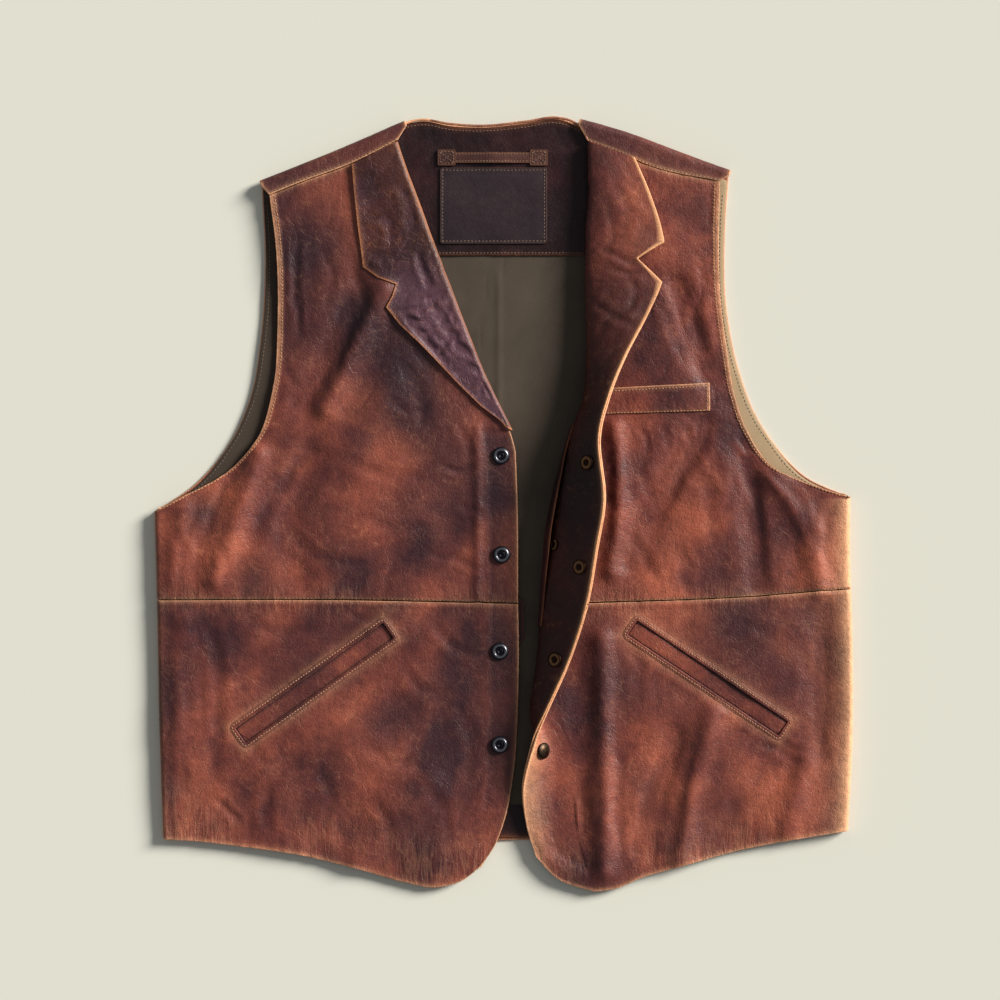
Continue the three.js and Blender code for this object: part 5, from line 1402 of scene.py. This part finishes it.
def window_welt(window, front, outline, side):
    """The welt in a window: it follows the front's own height, crowned a little along its middle."""
    across, down = np.meshgrid(crowded(-1, 1, 90, 0.02, 4), crowded(-1, 1, 8, 0.1, 3)[::-1])
    along = across * (window["length"] / 2 - PLAY)
    up = down * (window["width"] / 2 - PLAY)
    x, y = on_window(window, along, up)
    height = front(*locate(outline, x, y, 0.5, 2.3))[..., 2]
    swell = 0.3 * (1 - down ** 4) + skin(along, up, (0.25, 14, 301), (0.2, 8, 302, 80, 1.5))
    base = Sheet(np.dstack([x, y, height - WELT_DEPTH + swell]))
    # The welt is painted darker along its top and bottom edges, as shade under the window's edge.
    mark(base, swell * 0.5, 0.0, (),
         1.2 * fade(base.from_top, 1.2) + 0.8 * fade(base.from_bottom, 0.7) + 0.1)
    make("pocket_welt_panel_" + side, [wall(base, WINDOW_WELT_THICKNESS)], front_leather,
         ["pocket_welt_" + side])


for side, window, sheet, front, outline in (
        ("left", WINDOW_LEFT, seat_left, front_left, front_left_outline),
        ("right", WINDOW_RIGHT, seat_right, front_right, front_right_outline)):
    window_edge(window, sheet, side)
    window_welt(window, front, outline, side)

# Inside the neck a leather facing covers the top of the lining. It is sewn on along its top and its
# bottom, and lies flat under the label patch.
FACING_TOP = 4.4
NECK_FACING_TOP = [[-90, 302], [-80.5, 311], [-67, 313.8], [-44, 310], [-19, 308.7], [18, 312], [43, 315.5],
                   [60, 310], [74, 300]]
NECK_FACING_BOTTOM = [[-93, 203.8], [0, 203.8], [78, 203.8]]
LABEL = {"x": -8.2, "y": 244.6, "width": 87.6, "height": 62.4, "thickness": 1.2, "corner": 2}
LABEL_REST = (44, 31)
LOOP = {"x": -8.8, "y": 284, "length": 90, "width": 8.5, "end": 14.5, "end_width": 13, "thickness": 1.4,
        "arch": 1.6}
neck_top, neck_bottom = curve(NECK_FACING_TOP), curve(NECK_FACING_BOTTOM)
columns, rows = np.meshgrid(crowded(0, 1, 90, 0.02, 4), crowded(0, 1, 64, 0.02, 4))
xy = between(neck_top, neck_bottom)(columns, rows)
x, y = xy[..., 0], xy[..., 1]
past_label = np.maximum(np.abs(x - LABEL["x"]) - LABEL_REST[0], np.abs(y - LABEL["y"]) - LABEL_REST[1])
under_label = bell(past_label.clip(0), 4)
relief = skin(x, y, (0.3, 30, 211), (0.25, 22, 212, 80, 2), (0.15, 8, 213, 40, 1.5))
relief = np.clip(relief, -0.4, np.where((x < -56) | (x > 60), 0, 0.3)) * (1 - under_label)
base = Sheet(np.dstack([x, y, FACING_TOP + 0 * x]))
neck_facing = base.moved(relief + 0.2 * bell(base.from_bottom - 1.2, 1.4))
# The spot at x 52 is a painted shadow, cast by the right front's roll onto the facing.
mark(neck_facing, relief, 0.35 * fade(neck_facing.from_bottom, 1.0) + 0.8 * fade(neck_facing.from_top, 1.3),
     [[-60, 250, 14, 0.4], [52, 240, 16, 0.5]])
make("neck_facing_panel", [wall(neck_facing, FACING_LEATHER)], inner_leather,
     ["neck_facing"])

# The neck's edge is turned over in a narrow roll of leather and sewn down, rubbed pale, from one
# shoulder seam to the other.
NECK_ROLL = [[-86.8, 297.5, 9.4], [-87.4, 303, 8.8], [-84.5, 309, 7.4], [-78, 312.8, 6.2], [-68, 314.8, 5.4],
             [-44, 311.6, 5.2], [-19, 310, 5.2], [18, 313.4, 5.2], [44, 316.6, 5.2], [54, 314.6, 5.4],
             [61, 310.6, 6.4], [66, 304.5, 8.4], [68.6, 298, 9.8]]
NECK_ROLL_HALF = (1.0, 0.8)


def roll_tube(line, half_width, half_height, sides=12):
    """A flattened tube along a line of points, closed by its ends drawn to nearly nothing."""
    ahead = unit(np.gradient(line, axis=0))
    side = unit(np.cross(ahead, [0.0, 0.0, 1.0]))
    up = np.cross(side, ahead)
    turn = np.linspace(0, 2 * math.pi, sides, endpoint=False)[None, :, None]
    size = np.ones(len(line))
    size[[0, -1]] = 0.05
    size = size[:, None, None]
    rings = line[:, None] + size * (side[:, None] * np.cos(turn) * half_width
                                    + up[:, None] * np.sin(turn) * half_height)
    n = np.arange(len(line) * sides).reshape(len(line), sides)
    after = np.roll(n, -1, axis=1)
    quads = [np.stack([n[:-1], after[:-1], after[1:], n[1:]], -1).reshape(-1, 4)]
    fan = np.arange(1, sides - 2, 2)
    for ring in (n[0, ::-1], n[-1]):
        quads.append(np.stack([ring[0] + 0 * fan, ring[fan], ring[fan + 1], ring[fan + 2]], -1))
    return rings.reshape(-1, 3), np.concatenate(quads)


line = curve(NECK_ROLL)(np.linspace(0, 1, 160))
line[:, 2] += 0.25 * hills(line[:, 0], line[:, 1], 12, 261)
points, quads = roll_tube(line, *NECK_ROLL_HALF)
wear = np.where(points[:, 0] < -60, 0.75, 0.25) + 0.2 * hills(points[:, 0], points[:, 1], 9, 262)
make("neck_rolled_edge", [(points, quads, {"hollow": 0 * wear, "worn": wear, "stain": 0 * wear})],
     front_leather)

# The label patch is bare leather with a pressed border, sewn on the neck facing along its four
# edges. The hanging loop above it is an arched leather strap. Its two ends are doubled to boxes and
# sewn down round their edges and crosswise.


def rounded_sheet(centre_x, centre_y, width, height, corner, z, step=1.6):
    """A rectangle with round corners, as a grid whose corner squares are drawn in to quarter circles."""
    u, v = np.meshgrid(crowded(-1, 1, int(width / step), 0.02, 4),
                       crowded(-1, 1, int(height / step), 0.03, 4)[::-1])
    x, y = u * width / 2, v * height / 2
    px = np.clip(x, corner - width / 2, width / 2 - corner)
    py = np.clip(y, corner - height / 2, height / 2 - corner)
    dx, dy = x - px, y - py
    size = np.maximum(np.abs(dx), np.abs(dy))
    scale = np.where(size > 1e-9, size / np.maximum(np.hypot(dx, dy), 1e-9), 0)
    return Sheet(np.dstack([centre_x + px + dx * scale, centre_y + py + dy * scale, z + 0 * x]))


label_leather = leather("label_leather", (34, 23, 29), (42, 29, 35), (51, 36, 41), (104, 74, 60),
                        (28, 19, 23), 0.55, 0.5, None, 0.3)
base = rounded_sheet(LABEL["x"], LABEL["y"], LABEL["width"], LABEL["height"], LABEL["corner"],
                     FACING_TOP + PLAY + LABEL["thickness"])
x, y = base.places()
from_edge = base.from_rim()
relief = (0.2 * hills(x, y, 26, 221) - 0.28 * bell(from_edge - 2.2, 0.8)
          - 0.1 * wrinkles(x, y, 10, 222, 20, 1.5) - 0.3 * bell(from_edge - 5.4, 0.6))
label = base.moved(relief)
mark(label, relief, 0.3 * fade(from_edge, 1.0))
make("label_patch_bare", [wall(label, LABEL["thickness"])], label_leather, ["label_patch"])

loop_leather = leather("loop_leather", (56, 32, 30), (74, 44, 40), (94, 58, 48), (160, 108, 70), (34, 22, 24),
                       0.45, 0.6, None, 0.5)
strap_half = LOOP["length"] / 2 - LOOP["end"] + 1
loop_base = FACING_TOP + PLAY
base = rounded_sheet(LOOP["x"], LOOP["y"], 2 * strap_half, LOOP["width"], 0.5, 0, 1.2)
x, y = base.places()
rise = LOOP["arch"] * np.cos(np.pi * np.clip((x - LOOP["x"]) / (2 * (strap_half - 1)), -0.5, 0.5)) ** 2
base.points[..., 2] = loop_base + LOOP["thickness"] + rise + 0.15 * hills(x, y, 11, 231)
strap = Sheet(base.points)
groove = -0.22 * bell(np.minimum(strap.from_top, strap.from_bottom) - 1.5, 0.6)
strap = strap.moved(groove)
mark(strap, groove, 0.35 * fade(np.minimum(strap.from_top, strap.from_bottom), 0.8))
ends = []
for side in (-1, 1):
    end = rounded_sheet(LOOP["x"] + side * (LOOP["length"] - LOOP["end"]) / 2, LOOP["y"], LOOP["end"],
                        LOOP["end_width"], 1.2, loop_base + LOOP["thickness"] + 0.3, 0.9)
    x, y = end.places()
    from_edge = end.from_rim()
    relief = 0.15 * hills(x, y, 7, 232 + side) - 0.25 * bell(from_edge - 1.6, 0.6)
    end = end.moved(relief)
    mark(end, relief, 0.3 * fade(from_edge, 0.8))
    ends.append(wall(end, LOOP["thickness"] + 0.3))
make("hanging_loop_strap", [wall(strap, LOOP["thickness"]), *ends], loop_leather,
     ["hanging_loop"])

# The lip of the inner pocket stands off the facing beside the roll, and a small tab of doubled
# leather shows past the front edge below the waist. Along the hem the back has a leather facing.
POCKET_LIP = {"from_section": 7.7, "to_section": 11.4, "from_share": 0.42, "to_share": 0.6, "gape": 3.2}
INNER_TAB = {"x": 9.75, "y": -95.5, "width": 13.5, "height": 37, "corner": 4.5, "z": 3.3, "thickness": 1.2}
HEM_FACING = {"left": -60, "right": 60, "top": -246, "bottom": -272.5, "z": 3.5}
along, section = np.meshgrid(crowded(POCKET_LIP["from_share"], POCKET_LIP["to_share"], 14, 0.1, 3),
                             crowded(POCKET_LIP["from_section"], POCKET_LIP["to_section"], 70, 0.02, 3))
share = (section - POCKET_LIP["from_section"]) / (POCKET_LIP["to_section"] - POCKET_LIP["from_section"])
base = Sheet(roll_surface(along, section))
away = ROLLED_LEATHER + FACING_LEATHER + 2 * PLAY + POCKET_LIP["gape"] * np.sin(np.pi * share) ** 2
lip_relief = 0.3 * hills(base.from_left, base.points[..., 1], 16, 241)
lip = base.moved(-away + np.clip(lip_relief, -0.3, 0.2))
lip_edge = np.minimum(lip.from_left, lip.from_right)
mark(lip, -lip_relief, 0.4 * fade(lip_edge, 1.0))
make("inner_pocket_lip_strip", [wall(lip, FACING_LEATHER)], inner_leather,
     ["inner_pocket_lip"])
base = rounded_sheet(INNER_TAB["x"], INNER_TAB["y"], INNER_TAB["width"], INNER_TAB["height"],
                     INNER_TAB["corner"], INNER_TAB["z"] + INNER_TAB["thickness"], 1.0)
from_edge = base.from_rim()
relief = -0.25 * bell(from_edge - 2.0, 0.7)
tab = base.moved(relief)
mark(tab, relief, 0.3 * fade(from_edge, 0.8))
make("inner_tab_panel", [wall(tab, INNER_TAB["thickness"])], inner_leather, ["inner_tab"])
columns, rows = np.meshgrid(crowded(HEM_FACING["left"], HEM_FACING["right"], 70, 0.02, 3),
                            crowded(HEM_FACING["bottom"], HEM_FACING["top"], 18, 0.05, 3)[::-1])
base = Sheet(np.dstack([columns, rows, HEM_FACING["z"] + 0 * rows]))
relief = np.clip(skin(columns, rows, (0.2, 18, 251), (0.2, 10, 252, 80, 2)), -0.2, 0.2)
hem_facing = base.moved(relief)
mark(hem_facing, relief, 0.5 * fade(hem_facing.from_bottom, 1.4))
make("back_hem_facing", [wall(hem_facing, 0.5)], inner_leather)

# The snaps are dark antique brass: ring studs on the flat front, and on the rolled edge a socket
# inside and a domed cap outside, pressed through the leather.
STUD_PROFILE = [[0, 0.2], [1.3, 0.25], [1.5, 0.9], [2.3, 1.0], [2.6, 0.45], [3.5, 0.4], [3.9, 1.5],
                [4.5, 1.85], [5.4, 1.8], [5.9, 1.1], [6.5, 0.95], [7.1, 0.7], [7.1, 0.1], [6.8, 0], [0, 0]]
SOCKET_PROFILE = [[0, 0.35], [1.4, 0.35], [1.7, 0.6], [2.5, 0.6], [2.8, 1.2], [3.3, 1.6], [4.2, 1.6],
                  [4.9, 1.2], [5.5, 0.9], [6.2, 0.6], [6.2, 0.1], [6.0, 0], [0, 0]]
CAP_PROFILE = [[0, 2.4], [2.6, 2.25], [4.6, 1.75], [6.1, 0.95], [6.7, 0.5], [6.5, 0.1], [6.2, 0], [0, 0]]
SMALL_SNAP_PROFILE = [[0, 0.4], [1.2, 0.4], [2.1, 0.6], [2.5, 1.3], [3.7, 1.3], [4.6, 0.8], [5, 0.5],
                      [5, 0.1], [4.8, 0], [0, 0]]
STUD_PLACES = [[-2, 40], [-1.5, -41], [-3, -120], [-3, -196.5]]
STUD_STAND = 0.8
STUD_REACH = np.array([-0.01, 0, 0.01])
ROLL_REACH = np.array([-1e-3, 0, 1e-3])
# Columns: the snap's height on the rolled edge, and how far its cap stands off the leather.
SNAP_LEVELS = [[34, 1.3], [-50.5, 0.9], [-126, 0.6], [-201, 1.5]]
SOCKET_STAND = 0.95
SNAP_FROM_EDGE = 13
POCKET_SNAP = {"section": 9.95, "share": 0.4}


def snap_finish(name, tarnished, rubbed):
    """Dark metal, brighter where it is rubbed on its high rings, with a fine brushed unevenness."""
    material, tree, place, connect = new_material(name, Metallic=1.0)
    high = attribute(tree, "high")
    tarnish = cloud(tree, place, 2.2, 4.0, 0.65)
    connect("Base Color", blend((high * (0.5 + tarnish)).limit(), paint(*tarnished), paint(*rubbed)))
    connect("Roughness", 0.48 - high * 0.2 + (tarnish - 0.5) * 0.3)
    connect("Normal", bump(tree, 0.3, 0.0002, tarnish))
    return material


gun_metal = snap_finish("dark_snap_metal", (40, 40, 46), (128, 128, 134))
old_brass = snap_finish("old_snap_brass", (44, 30, 24), (120, 90, 62))
cap_metal = snap_finish("cap_metal", (42, 34, 29), (86, 68, 54))
SNAP_SIDES = 40


def turned(profile, centre, way):
    """A profile of radius and height turned round its axis, then set on a place along a direction."""
    fine = np.array(profile, float)
    fine[0, 0] = fine[-1, 0] = 0.02
    turn = np.linspace(0, 2 * math.pi, SNAP_SIDES, endpoint=False)
    way = unit(way)
    side = unit(np.cross(way, [0.0, 1.0, 0.0]))
    other = np.cross(way, side)
    rings = (centre + fine[:, None, 1:] * way + fine[:, None, :1] * (np.cos(turn)[:, None] * side
                                                                   + np.sin(turn)[:, None] * other))
    n = np.arange(len(fine) * SNAP_SIDES).reshape(len(fine), SNAP_SIDES)
    after = np.roll(n, -1, axis=1)
    quads = np.stack([n[:-1], n[1:], after[1:], after[:-1]], -1).reshape(-1, 4)
    caps = [np.stack([ring[0] + 0 * ring[1:-2:2], ring[1:-2:2], ring[2:-1:2], ring[3::2]], -1)
            for ring in (n[0], n[-1, ::-1])]
    high = np.repeat(np.clip((fine[:, 1] / fine[:, 1].max() - 0.55) / 0.4, 0, 1), SNAP_SIDES)
    return rings.reshape(-1, 3), np.concatenate([quads, *caps]), {"high": high}


def snap(name, profile, centre, way, node_name, metal):
    """One snap part: its profile turned round the way it faces, from its seat on the leather."""
    return make(name, [turned(profile, centre, way)], metal, [node_name])


def seat_at(surface, columns, rows):
    """The point and the outward direction of a surface at the middle of three columns and three rows."""
    near = Sheet(surface(*np.meshgrid(columns, rows)))
    return near.points[1, 1], near.normal[1, 1]


for i, (x, y) in enumerate(STUD_PLACES):
    column, row = locate(front_left_outline, np.array([float(x)]), np.array([float(y)]), 0.95, 1.5)
    point, way = seat_at(front_left, column + STUD_REACH.clip(None, 1 - column), row + STUD_REACH)
    snap(f"ring_stud_{i + 1}", STUD_PROFILE, point + way * STUD_STAND, way, f"snap_stud_{i + 1}", gun_metal)
for i, (height, cap_stand) in enumerate(SNAP_LEVELS):
    levels = roll_surface(0.2, np.linspace(7, 17, 1001))[:, 1]
    section = 7 + 0.01 * np.argmax(levels <= height)
    walk = roll_surface(np.linspace(0, 1, 501), section)
    run = run_along(walk)
    point, way = seat_at(roll_surface, 0.002 * np.argmax(run >= SNAP_FROM_EDGE) + ROLL_REACH,
                         section + ROLL_REACH)
    inside = ROLLED_LEATHER + FACING_LEATHER + PLAY + SOCKET_STAND
    snap(f"domed_cap_{i + 1}", CAP_PROFILE, point + way * cap_stand, way, f"snap_cap_{i + 1}", cap_metal)
    snap(f"ring_socket_{i + 1}", SOCKET_PROFILE, point - way * inside, -way, f"snap_socket_{i + 1}",
         old_brass)
point, way = seat_at(roll_surface, POCKET_SNAP["share"] + ROLL_REACH, POCKET_SNAP["section"] + ROLL_REACH)
snap("pocket_socket", SMALL_SNAP_PROFILE, point - way * (ROLLED_LEATHER + FACING_LEATHER + 2 * PLAY), -way,
     "inner_pocket_snap", old_brass)

# All seams are sewn in waxed thread, about three stitches to the centimetre. Each stitch is a short
# spindle that sinks into the leather at both ends.
STITCH_SIDES = 6
STITCH_OUT = 2.6
# Columns: place along the stitch, its radius and its lift, as shares of half length and of radius.
STITCH_SHAPE = np.array([[-1, 0.3, -0.9], [-0.75, 0.85, -0.1], [-0.3, 1, 0.35], [0.3, 1, 0.35],
                         [0.75, 0.85, -0.1], [1, 0.3, -0.9]])


def waxed_thread(name, light, dark):
    """Waxed thread, a little darker in uneven patches."""
    material, tree, place, connect = new_material(name, Roughness=0.6, Sheen_Weight=0.1)
    uneven = (cloud(tree, place, 9, 4.0) * 2.2 - 0.6).limit()
    connect("Base Color", blend(uneven, paint(*dark), paint(*light)))
    return material


tan_thread = waxed_thread("tan_thread", (214, 160, 112), (150, 98, 62))
dark_thread = waxed_thread("dark_thread", (66, 38, 30), (36, 20, 18))
frame_thread = waxed_thread("frame_thread", (216, 168, 128), (160, 108, 74))
faded_thread = waxed_thread("faded_thread", (138, 112, 92), (96, 74, 62))


def stitch_row(line, pitch=3.2, length=2.3, radius=0.36, seed=1):
    """Stitches along a line of points and directions, each turned and placed a little unevenly."""
    points, ways = line
    run = run_along(points)
    count = max(int(run[-1] / pitch), 1)
    middle = (np.arange(count) + 0.5) * run[-1] / count

    def at(distance, values):
        """Values at a distance along the line, straight between its points."""
        return np.stack([np.interp(distance, run, values[:, k]) for k in range(3)], -1)

    rng = np.random.default_rng(seed)
    up = unit(at(middle, ways))
    tangent = unit(at(middle + 0.8, points) - at(middle - 0.8, points))
    side = np.cross(up, tangent)
    tangent = tangent + side * rng.normal(0, 0.07, (count, 1))
    centre = at(middle, points) + side * rng.normal(0, 0.08, (count, 1))
    stretch = length / 2 * rng.normal(1, 0.06, (count, 1, 1, 1))
    turn = np.linspace(0, 2 * math.pi, STITCH_SIDES, endpoint=False)[None, None, :, None]
    shape = STITCH_SHAPE[None, :, None, :]
    axis, lift, across = (v[:, None, None, :] for v in (tangent, up, side))
    rings = (centre[:, None, None, :] + axis * shape[..., :1] * stretch + lift * shape[..., 2:] * radius
             + (across * np.cos(turn) + lift * np.sin(turn)) * shape[..., 1:2] * radius)
    ring_count = len(STITCH_SHAPE)
    n = np.arange(ring_count * STITCH_SIDES).reshape(ring_count, STITCH_SIDES)
    after = np.roll(n, -1, axis=1)
    quads = np.stack([n[:-1], after[:-1], after[1:], n[1:]], -1).reshape(-1, 4)
    ends = [n[0, [0, 3, 2, 1]], n[0, [0, 5, 4, 3]], n[-1, [0, 1, 2, 3]], n[-1, [0, 3, 4, 5]]]
    one = np.concatenate([quads, ends])
    faces = (one[None] + (np.arange(count) * n.size)[:, None, None]).reshape(-1, 4)
    return rings.reshape(-1, 3), faces, {}


def row_share(sheet, level):
    """The share of a panel's rows at a level."""
    return np.interp(level, sheet.plan[2], np.linspace(0, 1, len(sheet.plan[2])))


for seed, sheet, side in ((1, upper_left, "left"), (2, upper_right, "right")):
    line = sheet.along_edge(side, 4.4, 0.005, row_share(sheet, 1.0) - 0.01)
    make("armhole_stitches_" + side, [stitch_row(line, 2.9, 2.1, 0.4, seed)], tan_thread)
make("waist_stitches", [stitch_row(upper_left.along_edge("bottom", 1.2), 3.0, 2.0, 0.24, 3),
                        stitch_row(upper_right.along_edge("bottom", 1.2, 0.42, 1), 3.0, 2.0, 0.24, 4)],
     dark_thread)
make("shoulder_stitches", [stitch_row(strip_left.along_edge("bottom", 1.6, 0.02, 0.98), 3.0, 2.2, 0.34, 5),
                           stitch_row(strip_right.along_edge("bottom", 1.6, 0.02, 0.98), 3.0, 2.2, 0.34, 6)],
     faded_thread)
frames = []
for window, sheet in ((WINDOW_LEFT, seat_left), (WINDOW_RIGHT, seat_right)):
    line = stretch_out(round_window(window), STITCH_OUT)
    line = np.concatenate([line, line[:1]])
    points, ways = sheet.above(line[:, 0], line[:, 1])
    frames.append(stitch_row((points + [0, 0, 0.4], ways), 2.6, 2.0, 0.3, 33))
make("pocket_stitches", frames, frame_thread)
make("chest_welt_stitches", [stitch_row(chest_welt.along_edge("top", 2.6, 0.03, 0.97), 2.7, 2.0, 0.34, 7),
                             stitch_row(chest_welt.along_edge("right", 2.6, 0.08, 0.92), 2.7, 2.0, 0.34, 8),
                             stitch_row(chest_welt.along_edge("bottom", 0.9, 0.02, 0.98), 2.7, 2.0, 0.3, 9)],
     tan_thread)
make("neck_stitches", [stitch_row(neck_facing.along_edge("bottom", 2.2), 2.8, 2.0, 0.3, 10),
                       stitch_row(neck_facing.along_edge("top", 3.0), 2.8, 2.0, 0.3, 11)],
     faded_thread)
label_rows = [stitch_row(label.along_edge(edge, 2.2, 0.03, 0.97), 2.9, 2.1, 0.3, 12 + i)
              for i, edge in enumerate(("top", "bottom", "left", "right"))]
make("label_stitches", label_rows, faded_thread)


def straight_line(x0, y0, x1, y1, z, count=12):
    """A straight line of points at one level, with its directions up."""
    share = np.linspace(0, 1, count)[:, None]
    line = np.hstack([[[x0, y0]] + share * [[x1 - x0, y1 - y0]], np.full((count, 1), z)])
    return line, np.tile([0.0, 0.0, 1.0], (count, 1))


loop_rows = []
top_z = loop_base + LOOP["thickness"] + 0.34
for side in (-1, 1):
    x = LOOP["x"] + side * (LOOP["length"] - LOOP["end"]) / 2
    a, b = LOOP["end"] / 2 - 1.8, LOOP["end_width"] / 2 - 1.8
    corners = [[x + i * a, LOOP["y"] + j * b] for i, j in ((-1, -1), (1, -1), (1, 1), (-1, 1))]
    pairs = [(0, 1), (1, 2), (2, 3), (3, 0), (0, 2), (1, 3)]
    loop_rows += [stitch_row(straight_line(*corners[i], *corners[j], top_z), 2.2, 1.8, 0.3, 20 + i + j)
                  for i, j in pairs]
loop_rows += [stitch_row(strap.along_edge(edge, 1.5, 0.02, 0.98), 2.4, 1.8, 0.28, 30 + i)
              for i, edge in enumerate(("top", "bottom"))]
make("loop_stitches", loop_rows, faded_thread)
make("tab_stitches", [stitch_row(tab.along_edge("right", 2.0, 0.05, 0.95), 2.6, 1.9, 0.36, 40)],
     dark_thread)
make("lining_stitches", [stitch_row(lining.along_edge("left", 3.0, 0.02, 0.52), 3.2, 2.2, 0.26, 41),
                         stitch_row(lining.along_edge("right", 3.0, 0.02, 0.52), 3.2, 2.2, 0.26, 42)],
     faded_thread)
